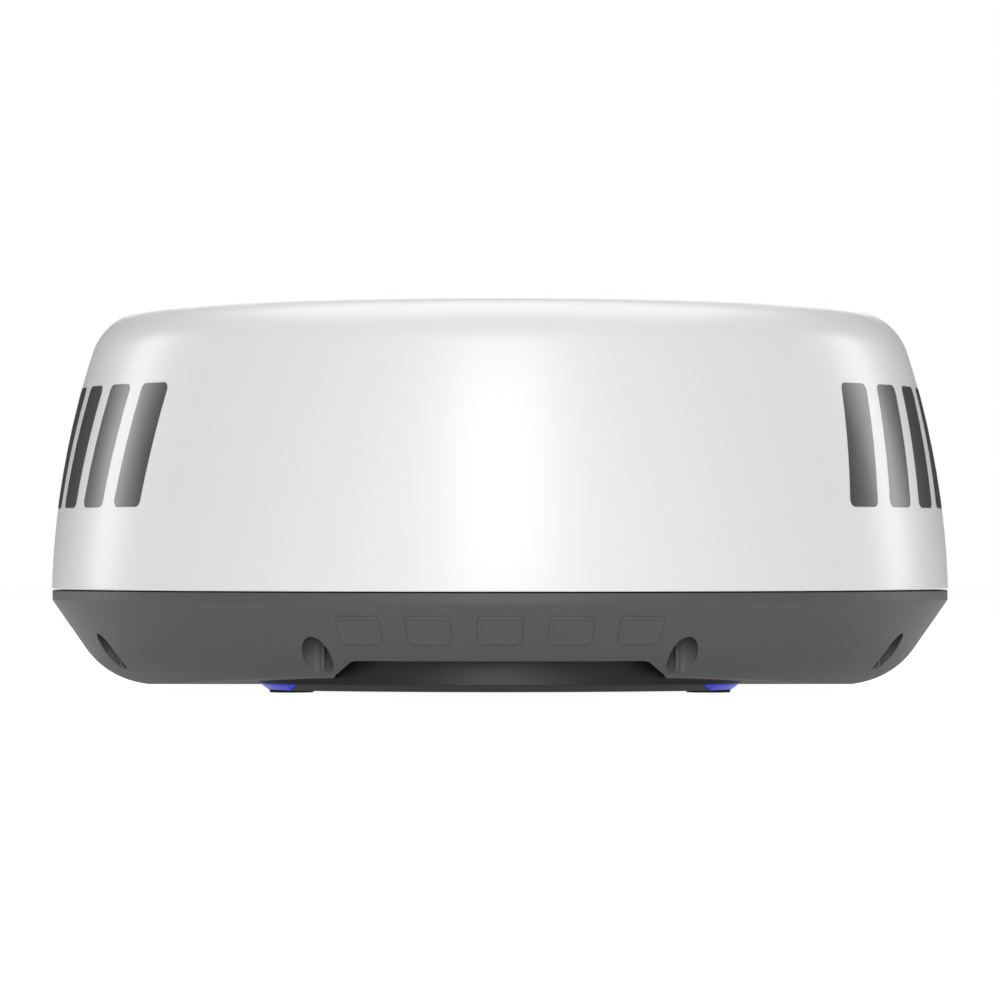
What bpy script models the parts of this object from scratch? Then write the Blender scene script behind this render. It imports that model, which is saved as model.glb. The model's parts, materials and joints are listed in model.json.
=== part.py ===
"""Radar dome antenna: a closed white radome on a grey skirt, with a belt-driven scanning antenna inside.

Metres, +Z up, front towards -Y. The origin is the centre of the plane on which the four
mounting pads stand. Pieces that turn or lift have their origin on their joint's axis.
"""

import math

import bmesh
import bpy

# Dome: three arcs, each tangent to the next, from the seam to the crown.
DOME_RADIUS = 0.2555
DOME_HEIGHT = 0.1695
DOME_WALL = 0.0032
WALL_ARC_RADIUS = 0.482
WALL_ARC_DROP = 0.0135
SHOULDER_RADIUS = 0.0348
CROWN_RADIUS = 1.828
SEAM_HEIGHT = 0.0571
SEAM_GAP = 0.0007

# Skirt: a short lip, a slope, and a fillet into a bottom that rises towards front and back.
SKIRT_WALL = 0.003
LIP_HEIGHT = 0.0055
LIP_SETBACK = 0.0005
SLOPE_ANGLE = math.radians(34.6)
SKIRT_FILLET = 0.047
SKIRT_BOTTOM = 0.0036
ROCKER_RADIUS = 2.6
FLAT_STEPS = (0.03, 0.07)

# Plinth: the foot of the chassis casting, seen through the skirt's notches.
PLINTH_HALF_WIDTH = 0.1314
PLINTH_NOSE_SETBACK = 0.0505
PLINTH_CORNER = 0.040
PLINTH_BOTTOM = 0.0031
PLINTH_TOP = 0.024
PLINTH_CHAMFER_HEIGHT = 0.0036
PLINTH_CHAMFER_WIDTH = 0.0049
PLINTH_WALL = 0.005
PLINTH_FLOOR = 0.0055
PLINTH_LEDGE = 0.003

# Chassis bowl above the plinth.
PAN_BOTTOM = 0.0155
CASTING_WALL = 0.0035
RIM_THICKNESS = 0.0044
NOTCH_HALF_WIDTH = 0.079
NOTCH_TOP = 0.0203
SOCKET_NOTCH_HALF_WIDTH = 0.034
SOCKET_NOTCH_TOP = 0.0275
NOTCH_SPREAD = 0.010
NOTCH_SLOPE_HEIGHT = 0.0087

# Eight dome screws, driven from below through pockets in the slope.
SCREW_ANGLES = [math.radians(side + turn) for side in (0, 180) for turn in (23.0, 65.4, 114.6, 157.0)]
SCREW_SETBACK = 0.0215
POCKET_RADIUS = 0.0084
SLEEVE_RADIUS = 0.011
POCKET_RIB_WIDTH = 0.0026
POCKET_RIB_DEPTH = 0.0035
POCKET_CEILING = 0.0033
SCREW_RADIUS = 0.0024
SCREW_HEAD_RADIUS = 0.0045
SCREW_HEAD_HEIGHT = 0.0043
SCREW_ENGAGEMENT = 0.0105
DOME_FLANGE_THICKNESS = 0.005
DOME_FLANGE_WIDTH = 0.031
DOME_BOSS_RADIUS = 0.006
SEAL_SETBACK = 0.0295
SEAL_WIDTH = 0.0032
SEAL_DEPTH = 0.0026

# Mounting: four M8 inserts behind rubber pads.
MOUNT_X = 0.1165
MOUNT_Y = 0.07075
PAD_RADIUS = 0.0123
PAD_HOLE = 0.005
PAD_RECESS = 0.0032
INSERT_RADIUS = 0.0065
INSERT_BORE = 0.0034
INSERT_LENGTH = 0.0105
INSERT_BOSS_RADIUS = 0.011
INSERT_BOSS_TOP = 0.019

# Accent lenses let into the plinth's two front corners.
LENS_HEIGHT = 0.0035
LENS_DEPTH = 0.007
LENS_HALF_LENGTH = 0.022
LED_BOARD = (0.008, 0.014, 0.0016)
LIGHT_HOLE_RADIUS = 0.0008
LIGHT_HOLE_STEP = 0.0012

# Spindle, bearings and hub on the scanning axis.
SPINDLE_FLANGE_RADIUS = 0.030
SPINDLE_FLANGE_HEIGHT = 0.005
SPINDLE_RADIUS = 0.010
SPINDLE_SHOULDER = 0.0123
SPINDLE_BORE = 0.0055
LEAD_WINDOW_WIDTH = 0.006
LEAD_WINDOW_HEIGHT = 0.010
RACE_WALL = 0.0023
BEARING_RADIUS = 0.016
BEARING_WIDTH = 0.007
BEARING_SPACING = 0.0213
LOWER_BEARING_Z = 0.0597
HUB_RADIUS = 0.021
HUB_TOP = 0.090

# Belt drive. The driven pulley turns once for this many turns of the motor.
DRIVE_PULLEY_RADIUS = 0.0095
BELT_RATIO = 6.0
BELT_WIDTH = 0.008
BELT_THICKNESS = 0.0014
BELT_Z = 0.061
PULLEY_RIM = 0.005
PULLEY_WEB = 0.003
PULLEY_FLANGE = 0.0008
MAGNET_SIZE = 0.0025
INDEX_SHARE = 0.75
MOTOR_Y = 0.110
MOTOR_SIDE = 0.042
MOTOR_HEIGHT = 0.0365
MOTOR_TOP = 0.057
MOTOR_CORNER_CUT = 0.004
SHAFT_RADIUS = 0.0025
SHAFT_END = 0.003
PLATE = 0.0025
BRACKET_FOOT = 0.010
SENSOR_WIDTH = 0.010
SENSOR_GAP = 0.002

# Antenna array, its tray and its bracket.
ARRAY_BOTTOM = 0.098
ARRAY_HEIGHT = 0.088
TRAY_BACK_Y = 0.0243
TRAY_DEPTH = 0.016
TRAY_WALL = 0.002
BOARD = 0.0016
SWING_CLEARANCE = 0.010
BRACKET_HALF_WIDTH = 0.045
BRACKET_HEIGHT = 0.072
BRACKET_PLATE = 0.003
GUSSET_DEPTH = 0.040
GUSSET_HEIGHT = 0.052
FEED_HEIGHT = 0.135
FEED_HOLE = 0.012
ROTOR_FLANGE_RADIUS = 0.018
ROTOR_FLANGE_THICKNESS = 0.0025
ROTOR_STEM_RADIUS = 0.007
ROTOR_NUB = (0.004, 0.010)

# Electronics on the chassis floor.
STANDOFF_HEIGHT = 0.0051
STANDOFF_RADIUS = 0.003
SIDE_BOARD_INNER_X = 0.045
SIDE_BOARD_SIZE = (0.057, 0.155)
SIDE_BOARD_BACK_Y = 0.105
RF_BOARD_SIZE = (0.150, 0.110)
RF_BOARD_BACK_Y = -0.060
SHIELD_HEIGHT = 0.019
SHIELD_WALL = 0.0012
SUPPLY_LEAD = 0.0022
MOTOR_LEAD = 0.0015
SIGNAL_LEAD = 0.0013
FEED_LEAD = 0.0016

# Cable socket in the rear wall, and the breather in the floor.
SOCKET_Z = 0.0136
SOCKET_RADIUS = 0.0065
SOCKET_FLANGE_RADIUS = 0.0094
SOCKET_FLANGE = 0.002
SOCKET_BORE = 0.005
SOCKET_REACH = 0.011
SOCKET_TAIL = 0.013
SOCKET_PINS = 5
PIN_CIRCLE = 0.0028
PIN_RADIUS = 0.0005
PIN_LENGTH = 0.010
NUT_RADIUS = 0.0082
NUT_THICKNESS = 0.0035
NUT_ROOM = 0.020
BREATHER_X = 0.050
BREATHER_Y = 0.150
BREATHER_RADIUS = 0.008
BREATHER_STEM = 0.0049
BREATHER_BORE = 0.0015
BREATHER_CAP = 0.0015

GAP = 0.0003
HOLE_CLEARANCE = 0.0004
REACH = 0.02
SEGMENTS = 48
MANY, SOME, FEW = 24, 12, 8

# Places worked out from the sizes above.
NOSE_RADIUS = DOME_RADIUS - PLINTH_NOSE_SETBACK
DOME_BOTTOM = SEAM_HEIGHT + SEAM_GAP / 2
SKIRT_TOP = SEAM_HEIGHT - SEAM_GAP / 2
LIP_RADIUS = DOME_RADIUS - LIP_SETBACK
SLOPE_TOP = SKIRT_TOP - LIP_HEIGHT
RIM_TOP = SKIRT_TOP - GAP / 2
RIM_BOTTOM = RIM_TOP - RIM_THICKNESS
RIM_RADIUS = LIP_RADIUS - 2 * SKIRT_WALL
SCREW_CIRCLE = DOME_RADIUS - SCREW_SETBACK
BOWL_RADIUS = SCREW_CIRCLE - SLEEVE_RADIUS - SKIRT_WALL
SLEEVE_TOP = RIM_BOTTOM - GAP
POCKET_TOP = SLEEVE_TOP - POCKET_CEILING
SEAL_RADIUS = DOME_RADIUS - SEAL_SETBACK
FLOOR_Z = PLINTH_BOTTOM + PLINTH_FLOOR
PAN_TOP = PAN_BOTTOM + CASTING_WALL
BOARD_Z = FLOOR_Z + STANDOFF_HEIGHT + GAP
UPPER_BEARING_Z = LOWER_BEARING_Z + BEARING_SPACING
DRIVEN_PULLEY_RADIUS = BELT_RATIO * DRIVE_PULLEY_RADIUS
SPINDLE_TOP = HUB_TOP + 0.001
BASE_TOP = HUB_TOP + GAP + BRACKET_PLATE


def clear_scene():
    for old in list(bpy.data.objects):
        bpy.data.objects.remove(old)


def material(name, colour, roughness, metallic=0.0):
    made = bpy.data.materials.new(name)
    made.use_nodes = True
    shader = made.node_tree.nodes["Principled BSDF"]
    shader.inputs["Base Color"].default_value = (*colour, 1.0)
    shader.inputs["Roughness"].default_value = roughness
    shader.inputs["Metallic"].default_value = metallic
    return made


def make_materials():
    return {
        "radome_white": material("radome_white", (0.86, 0.86, 0.86), 0.25),
        "skirt_grey": material("skirt_grey", (0.16, 0.16, 0.165), 0.45),
        "chassis_black": material("chassis_black", (0.025, 0.025, 0.027), 0.5),
        "rubber_black": material("rubber_black", (0.02, 0.02, 0.02), 0.8),
        "stainless": material("stainless", (0.55, 0.55, 0.54), 0.3, 1.0),
        "lens_blue": material("lens_blue", (0.02, 0.03, 0.6), 0.2),
        "board_green": material("board_green", (0.02, 0.12, 0.06), 0.4),
        "cast_aluminium": material("cast_aluminium", (0.6, 0.61, 0.62), 0.45, 1.0),
        "motor_steel": material("motor_steel", (0.2, 0.2, 0.21), 0.35, 1.0),
        "black_plastic": material("black_plastic", (0.03, 0.03, 0.03), 0.45),
        "brass": material("brass", (0.72, 0.5, 0.2), 0.3, 1.0),
    }


def finish(name, shape, finish_material, location=(0.0, 0.0, 0.0), smooth=True):
    """Turns a bmesh into an object with outward normals."""
    bmesh.ops.remove_doubles(shape, verts=shape.verts, dist=1e-6)
    bmesh.ops.recalc_face_normals(shape, faces=shape.faces)
    mesh = bpy.data.meshes.new(name)
    shape.to_mesh(mesh)
    shape.free()
    if smooth:
        mesh.shade_smooth()
        mesh.set_sharp_from_angle(angle=math.radians(35))
    mesh.materials.append(finish_material)
    made = bpy.data.objects.new(name, mesh)
    made.location = location
    bpy.context.scene.collection.objects.link(made)
    return made


def helper(made):
    made.hide_render = True
    made.display_type = "WIRE"
    return made


def boolean(target, operation, *others):
    for other in others:
        modifier = target.modifiers.new(operation.title(), "BOOLEAN")
        modifier.operation = operation
        modifier.solver = "EXACT"
        modifier.object = helper(other)
    return target


def turned(name, profile, finish_material, segments=SEGMENTS, location=(0.0, 0.0, 0.0), bend=None):
    """Spins (radius, height) points about the vertical axis. A profile that starts on the axis
    also ends on it. bend moves each finished point, given as (x, y, z)."""
    shape = bmesh.new()
    points = [shape.verts.new((radius, 0.0, height)) for radius, height in profile]
    pairs = list(zip(points, points[1:]))
    if profile[0][0] > 0.0:
        pairs.append((points[-1], points[0]))
    edges = [shape.edges.new(pair) for pair in pairs]
    bmesh.ops.spin(
        shape, geom=points + edges, axis=(0, 0, 1), cent=(0, 0, 0), angle=math.tau, steps=segments
    )
    bmesh.ops.remove_doubles(shape, verts=shape.verts, dist=1e-6)
    if bend:
        for point in shape.verts:
            point.co = bend(*point.co)
    return finish(name, shape, finish_material, location)


def lofted(name, levels, finish_material, location=(0.0, 0.0, 0.0), smooth=True):
    """Joins outlines of equal point count, given as (height, points), bottom to top."""
    shape = bmesh.new()
    rings = [[shape.verts.new((x, y, z)) for x, y in outline] for z, outline in levels]
    shape.faces.new(list(reversed(rings[0])))
    shape.faces.new(rings[-1])
    count = len(rings[0])
    for low, high in zip(rings, rings[1:]):
        for i in range(count):
            j = (i + 1) % count
            shape.faces.new((low[i], low[j], high[j], high[i]))
    return finish(name, shape, finish_material, location, smooth)


def extruded(name, outline, bottom, top, finish_material, location=(0.0, 0.0, 0.0)):
    return lofted(name, [(bottom, outline), (top, outline)], finish_material, location)


def rectangle(low_x, low_y, high_x, high_y):
    return [(low_x, low_y), (high_x, low_y), (high_x, high_y), (low_x, high_y)]


def block(name, low, high, finish_material):
    outline = rectangle(low[0], low[1], high[0], high[1])
    return lofted(name, [(low[2], outline), (high[2], outline)], finish_material, smooth=False)


def arc(centre, radius, start, end, steps):
    """Points on a circle, both ends included."""
    angles = [start + (end - start) * i / steps for i in range(steps + 1)]
    return [(centre[0] + radius * math.cos(a), centre[1] + radius * math.sin(a)) for a in angles]


def circle(x, y, radius, steps=FEW):
    return arc((x, y), radius, 0.0, math.tau, steps)[:-1]


def cylinder(name, x, y, radius, bottom, top, finish_material, steps=SOME):
    return extruded(name, circle(x, y, radius, steps), bottom, top, finish_material)


def ring(name, inner, outer, bottom, top, finish_material, steps=MANY, location=(0.0, 0.0, 0.0)):
    profile = [(inner, top), (outer, top), (outer, bottom), (inner, bottom)]
    return turned(name, profile, finish_material, steps, location)


def polar(radius, angle):
    return radius * math.cos(angle), radius * math.sin(angle)


def dome_arcs(inset=0.0):
    """Centres and joints of the dome's three arcs. The shoulder's centre lies as far from the other
    two centres as their radii exceed its own."""
    wall = (DOME_RADIUS - WALL_ARC_RADIUS, SEAM_HEIGHT - WALL_ARC_DROP)
    crown = (0.0, SEAM_HEIGHT + DOME_HEIGHT - CROWN_RADIUS)
    from_wall = WALL_ARC_RADIUS - SHOULDER_RADIUS
    from_crown = CROWN_RADIUS - SHOULDER_RADIUS
    across, up = wall[0] - crown[0], wall[1] - crown[1]
    apart = math.hypot(across, up)
    along = (from_crown**2 - from_wall**2 + apart**2) / (2 * apart)
    beside = math.sqrt(from_crown**2 - along**2)
    shoulder = (
        crown[0] + (along * across + beside * up) / apart,
        crown[1] + (along * up - beside * across) / apart,
    )
    start = math.asin((DOME_BOTTOM - wall[1]) / (WALL_ARC_RADIUS - inset))
    low = math.atan2(shoulder[1] - wall[1], shoulder[0] - wall[0])
    high = math.atan2(shoulder[1] - crown[1], shoulder[0] - crown[0])
    return [
        (wall, WALL_ARC_RADIUS - inset, start, low),
        (shoulder, SHOULDER_RADIUS - inset, low, high),
        (crown, CROWN_RADIUS - inset, high, math.pi / 2),
    ]


def dome_line(inset, steps):
    """The dome's outline from the seam to the crown, moved inwards by inset."""
    points = []
    for (centre, radius, start, end), count in zip(dome_arcs(inset), steps):
        points += arc(centre, radius, start, end, count)[1 if points else 0 :]
    return points[:-1] + [(0.0, points[-1][1])]


def dome_inner_radius(height):
    """The radius of the dome's inner face at a height, read between the points of its outline."""
    line = dome_line(DOME_WALL, (8, 8, 8))
    for (low_r, low_z), (high_r, high_z) in zip(line, line[1:]):
        if low_z <= height <= high_z:
            return low_r + (high_r - low_r) * (height - low_z) / (high_z - low_z)
    return 0.0


def make_radome(mats):
    outer = dome_line(0.0, (4, 5, 3))
    inner = dome_line(DOME_WALL, (3, 3, 2))
    flange_inner = DOME_RADIUS - DOME_FLANGE_WIDTH
    flange_top = DOME_BOTTOM + DOME_FLANGE_THICKNESS
    wall_foot = dome_inner_radius(flange_top)
    inside = [point for point in reversed(inner) if point[1] > flange_top]
    profile = list(reversed(outer)) + [(flange_inner, DOME_BOTTOM), (flange_inner, flange_top)]
    profile += [(wall_foot, flange_top)] + list(reversed(inside))
    radome = turned("radome", profile, mats["radome_white"])
    boss_top = DOME_BOTTOM + SCREW_ENGAGEMENT + DOME_WALL
    for angle in SCREW_ANGLES:
        x, y = polar(SCREW_CIRCLE, angle)
        lower = DOME_BOTTOM + DOME_FLANGE_THICKNESS / 2
        boss = cylinder("dome_boss", x, y, DOME_BOSS_RADIUS, lower, boss_top, mats["radome_white"], FEW)
        boolean(radome, "UNION", boss)
    for angle in SCREW_ANGLES:
        x, y = polar(SCREW_CIRCLE, angle)
        hole_top = DOME_BOTTOM + SCREW_ENGAGEMENT + GAP
        hole = cylinder(
            "dome_hole", x, y, SCREW_RADIUS + HOLE_CLEARANCE, DOME_BOTTOM - REACH, hole_top,
            mats["radome_white"], FEW,
        )
        boolean(radome, "DIFFERENCE", hole)
    return radome


def skirt_line(inset, top):
    """Half of the skirt's outline, from the top of its lip to the axis, moved inwards by inset."""
    sine, cosine = math.sin(SLOPE_ANGLE), math.cos(SLOPE_ANGLE)
    lip = LIP_RADIUS - inset
    bottom = SKIRT_BOTTOM + inset
    corner = (1.0 - sine) / cosine * inset
    slope_top = SLOPE_TOP + corner
    foot = lip - (slope_top - bottom) * sine / cosine
    fillet = SKIRT_FILLET - inset
    tangent = fillet * math.tan((math.pi / 2 - SLOPE_ANGLE) / 2)
    centre = (foot - tangent, bottom + fillet)
    points = [(lip, top), (lip, slope_top)]
    points += arc(centre, fillet, -SLOPE_ANGLE, -math.pi / 2, 4)
    points += [(foot - tangent - step, bottom) for step in FLAT_STEPS]
    return points + [(0.0, bottom)]


def rocker(inset):
    """Lifts the bottom along a wide arc, so that it rises towards the front and the back."""

    def bend(x, y, z):
        lowest = SKIRT_BOTTOM + inset + y * y / (2 * ROCKER_RADIUS)
        return x, y, max(z, lowest)

    return bend


def corner_centre():
    """The middle of a plinth corner's arc, which touches the side and the nose."""
    x = PLINTH_HALF_WIDTH - PLINTH_CORNER
    return x, math.sqrt((NOSE_RADIUS - PLINTH_CORNER) ** 2 - x**2)


def plinth_outline(inset):
    """The plinth's plan: straight sides, a nose of a wide arc at each end, and rounded corners."""
    centre_x, centre_y = corner_centre()
    turn = math.atan2(centre_y, centre_x)
    corner = arc((centre_x, centre_y), PLINTH_CORNER - inset, 0.0, turn, 6)
    nose = arc((0.0, 0.0), NOSE_RADIUS - inset, turn, math.pi - turn, 9)
    half = corner + nose[1:-1] + [(-x, y) for x, y in reversed(corner)]
    return half + [(-x, -y) for x, y in half]


def notch_outline(half_width, top):
    """A notch seen from the front: flat top, sloping shoulders with rounded corners, open below."""
    slope = math.atan2(NOTCH_SLOPE_HEIGHT, NOTCH_SPREAD)
    corner = arc((half_width, top - PLINTH_WALL), PLINTH_WALL, math.pi / 2, math.pi / 2 - slope, 3)
    wide = half_width + NOTCH_SPREAD
    right = corner + [(wide, top - NOTCH_SLOPE_HEIGHT), (wide, top - NOTCH_SLOPE_HEIGHT - REACH)]
    return right + [(-x, z) for x, z in reversed(right)]


def notch_cutter(name, half_width, top, side, mats):
    """Side is -1 for the front and 1 for the back."""
    near = side * (DOME_RADIUS + REACH)
    far = side * (NOSE_RADIUS - REACH)
    outline = notch_outline(half_width, top)
    shape = bmesh.new()
    rings = [[shape.verts.new((x, y, z)) for x, z in outline] for y in (near, far)]
    for one in rings:
        shape.faces.new(one)
    for i in range(len(outline)):
        j = (i + 1) % len(outline)
        shape.faces.new((rings[0][i], rings[0][j], rings[1][j], rings[1][i]))
    return finish(name, shape, mats["skirt_grey"])


def pocket_outline(angle):
    """A screw pocket's bore, with a flat rib left standing on its inner side."""
    half = POCKET_RIB_WIDTH / 2
    opening = math.asin(half / POCKET_RADIUS)
    bore = arc((0.0, 0.0), POCKET_RADIUS, math.pi + opening, 3 * math.pi - opening, SOME)
    tip = POCKET_RADIUS - POCKET_RIB_DEPTH
    local = bore + [(-tip, half), (-tip, -half)]
    x, y = polar(SCREW_CIRCLE, angle)
    c, s = math.cos(angle), math.sin(angle)
    return [(x + u * c - v * s, y + u * s + v * c) for u, v in local]


def make_skirt(mats):
    grey = mats["skirt_grey"]
    skirt = turned("skirt", [(0.0, SKIRT_TOP)] + skirt_line(0.0, SKIRT_TOP), grey, bend=rocker(0.0))
    above = SKIRT_TOP + REACH
    cavity_line = [(0.0, above)] + skirt_line(SKIRT_WALL, above)
    cavity = turned("skirt_cavity", cavity_line, grey, bend=rocker(SKIRT_WALL))
    for angle in SCREW_ANGLES:
        x, y = polar(SCREW_CIRCLE, angle)
        sleeve = cylinder("sleeve", x, y, SLEEVE_RADIUS, -REACH, SLEEVE_TOP, grey)
        boolean(cavity, "DIFFERENCE", sleeve)
    boolean(skirt, "DIFFERENCE", cavity)
    for angle in SCREW_ANGLES:
        x, y = polar(SCREW_CIRCLE, angle)
        pocket = extruded("pocket", pocket_outline(angle), -REACH, POCKET_TOP, grey)
        hole = cylinder("skirt_hole", x, y, SCREW_RADIUS + HOLE_CLEARANCE, 0.0, above, grey, FEW)
        boolean(skirt, "DIFFERENCE", pocket, hole)
    opening = extruded("plinth_opening", plinth_outline(-2 * GAP), -REACH, PLINTH_TOP + GAP, grey)
    front = notch_cutter("front_notch", NOTCH_HALF_WIDTH, NOTCH_TOP, -1, mats)
    back = notch_cutter("socket_notch", SOCKET_NOTCH_HALF_WIDTH, SOCKET_NOTCH_TOP, 1, mats)
    return boolean(skirt, "DIFFERENCE", opening, front, back)


def plinth_block(name, mats):
    chamfer_top = PLINTH_BOTTOM + PLINTH_CHAMFER_HEIGHT
    levels = [
        (PLINTH_BOTTOM, plinth_outline(PLINTH_CHAMFER_WIDTH)),
        (chamfer_top, plinth_outline(0.0)),
        (PLINTH_TOP, plinth_outline(0.0)),
    ]
    return lofted(name, levels, mats["chassis_black"])


def corner_frame(side):
    """The centre of a front corner's arc, and the direction of the corner's middle."""
    centre_x, centre_y = corner_centre()
    middle = -math.atan2(centre_y, centre_x) / 2
    direction = (side * math.cos(middle), math.sin(middle))
    return (side * centre_x, -centre_y), direction


def corner_block(name, side, near, far, half_length, bottom, top, mats):
    """A box across a front corner, between two distances from the corner arc's centre."""
    (x, y), (u, v) = corner_frame(side)
    corners = rectangle(near, -half_length, far, half_length)
    outline = [(x + u * along - v * across, y + v * along + u * across) for along, across in corners]
    return extruded(name, outline, bottom, top, mats["lens_blue"])


def board_places():
    """Each board's rectangle on the floor."""
    inner, back = SIDE_BOARD_INNER_X, SIDE_BOARD_BACK_Y
    outer, front = inner + SIDE_BOARD_SIZE[0], back - SIDE_BOARD_SIZE[1]
    half = RF_BOARD_SIZE[0] / 2
    return {
        "main_board": (-outer, front, -inner, back),
        "power_board": (inner, front, outer, back),
        "transceiver_board": (-half, RF_BOARD_BACK_Y - RF_BOARD_SIZE[1], half, RF_BOARD_BACK_Y),
    }


def standoffs(mats):
    margin = 2 * STANDOFF_RADIUS
    for low_x, low_y, high_x, high_y in board_places().values():
        for x in (low_x + margin, high_x - margin):
            for y in (low_y + margin, high_y - margin):
                top = FLOOR_Z + STANDOFF_HEIGHT
                bottom = FLOOR_Z - GAP
                yield cylinder("standoff", x, y, STANDOFF_RADIUS, bottom, top, mats["chassis_black"], 6)


def mount_places():
    return [(sx * MOUNT_X, sy * MOUNT_Y) for sy in (-1, 1) for sx in (-1, 1)]


def chassis_bowl(mats):
    step = PLINTH_TOP - PAN_BOTTOM
    side_rise = BOWL_RADIUS - NOSE_RADIUS + PLINTH_LEDGE
    outer = [
        (0.0, RIM_TOP),
        (RIM_RADIUS, RIM_TOP),
        (RIM_RADIUS, RIM_BOTTOM),
        (BOWL_RADIUS, RIM_BOTTOM),
        (BOWL_RADIUS, PLINTH_TOP + side_rise),
        (NOSE_RADIUS - PLINTH_LEDGE, PLINTH_TOP),
        (NOSE_RADIUS - PLINTH_LEDGE - step, PAN_BOTTOM),
        (0.0, PAN_BOTTOM),
    ]
    return turned("chassis", outer, mats["chassis_black"])


def bowl_interior(mats):
    step = PLINTH_TOP - PAN_BOTTOM
    side_rise = BOWL_RADIUS - NOSE_RADIUS + PLINTH_LEDGE
    wall = CASTING_WALL
    inner = [
        (0.0, RIM_TOP + REACH),
        (BOWL_RADIUS - wall, RIM_TOP + REACH),
        (BOWL_RADIUS - wall, PLINTH_TOP + side_rise + wall),
        (NOSE_RADIUS - PLINTH_LEDGE - wall, PLINTH_TOP + wall),
        (NOSE_RADIUS - PLINTH_LEDGE - wall - step, PAN_TOP),
        (0.0, PAN_TOP),
    ]
    return turned("bowl_interior", inner, mats["chassis_black"])


def chassis_well(mats):
    """The space inside the plinth, less the bosses that hold the mounting inserts."""
    black = mats["chassis_black"]
    well = extruded("well", plinth_outline(PLINTH_WALL), FLOOR_Z, PAN_TOP + GAP, black)
    for x, y in mount_places():
        boss = cylinder("insert_boss", x, y, INSERT_BOSS_RADIUS, 0.0, INSERT_BOSS_TOP, black)
        boolean(well, "DIFFERENCE", boss)
    return well


def make_chassis(mats):
    black = mats["chassis_black"]
    chassis = chassis_bowl(mats)
    boolean(chassis, "UNION", plinth_block("plinth", mats))
    boolean(chassis, "DIFFERENCE", bowl_interior(mats), chassis_well(mats))
    for post in standoffs(mats):
        boolean(chassis, "UNION", post)
    groove = ring(
        "seal_groove", SEAL_RADIUS - SEAL_WIDTH / 2 - GAP, SEAL_RADIUS + SEAL_WIDTH / 2 + GAP,
        RIM_TOP - SEAL_DEPTH, RIM_TOP + REACH, black, SEGMENTS,
    )
    boolean(chassis, "DIFFERENCE", groove)
    for angle in SCREW_ANGLES:
        x, y = polar(SCREW_CIRCLE, angle)
        radius = SCREW_RADIUS + HOLE_CLEARANCE
        low, high = RIM_BOTTOM - REACH / 2, RIM_TOP + REACH / 2
        boolean(chassis, "DIFFERENCE", cylinder("flange_hole", x, y, radius, low, high, black, FEW))
    for x, y in mount_places():
        recess_top = PLINTH_BOTTOM + PAD_RECESS
        recess = cylinder("pad_recess", x, y, PAD_RADIUS + GAP, 0.0, recess_top, black)
        hole_top = recess_top + 2 * GAP + INSERT_LENGTH
        hole = cylinder("insert_hole", x, y, INSERT_RADIUS + GAP, 0.0, hole_top, black)
        boolean(chassis, "DIFFERENCE", recess, hole)
    for side in (-1, 1):
        near = PLINTH_CORNER - LENS_DEPTH - GAP
        far = PLINTH_CORNER + REACH
        top = PLINTH_BOTTOM + LENS_HEIGHT + GAP
        recess = corner_block("lens_recess", side, near, far, LENS_HALF_LENGTH + GAP, 0.0, top, mats)
        x, y = light_hole_place(side)
        top = FLOOR_Z + REACH / 4
        light_hole = cylinder("light_hole", x, y, LIGHT_HOLE_RADIUS, 0.0, top, black, FEW)
        boolean(chassis, "DIFFERENCE", recess, light_hole)
    hole_radius = SOCKET_RADIUS + GAP
    socket_hole = rear_turned("socket_hole", [(hole_radius, -REACH), (hole_radius, REACH)], mats)
    nut_room = block(
        "nut_room", (-NUT_ROOM / 2, NOSE_RADIUS - REACH, SOCKET_Z - NUT_RADIUS - GAP),
        (NUT_ROOM / 2, NOSE_RADIUS - PLINTH_WALL + GAP, SOCKET_Z + SOCKET_FLANGE_RADIUS), black,
    )
    vent_radius = BREATHER_STEM + GAP
    vent_hole = cylinder("vent_hole", BREATHER_X, BREATHER_Y, vent_radius, 0.0, FLOOR_Z + REACH / 4, black)
    return boolean(chassis, "DIFFERENCE", socket_hole, nut_room, vent_hole)


def light_hole_place(side):
    (x, y), (u, v) = corner_frame(side)
    along = PLINTH_CORNER - LENS_DEPTH + LIGHT_HOLE_STEP
    return x + u * along, y + v * along


def rear_turned(name, profile, mats, slot="cast_aluminium", steps=SOME):
    """A piece turned about the socket's axis, which leaves the rear wall along +Y.
    Profile points are (radius, distance behind the rear wall's outer face)."""
    made = turned(name, [(0.0, profile[0][1])] + profile + [(0.0, profile[-1][1])], mats[slot], steps)
    return aim_rearwards(made)


def aim_rearwards(made):
    made.rotation_euler = (-math.pi / 2, 0.0, 0.0)
    made.location = (0.0, NOSE_RADIUS, SOCKET_Z)
    return made


def make_pads_and_inserts(mats):
    insert_bottom = PLINTH_BOTTOM + PAD_RECESS + GAP
    for number, (x, y) in enumerate(mount_places(), 1):
        pad_top = PLINTH_BOTTOM + PAD_RECESS - GAP
        where = (x, y, 0.0)
        ring(f"mount_pad_{number}", PAD_HOLE, PAD_RADIUS, 0.0, pad_top, mats["rubber_black"], SOME, where)
        insert_top = insert_bottom + INSERT_LENGTH
        ring(
            f"mount_insert_{number}", INSERT_BORE, INSERT_RADIUS, insert_bottom, insert_top,
            mats["brass"], SOME, where,
        )


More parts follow.
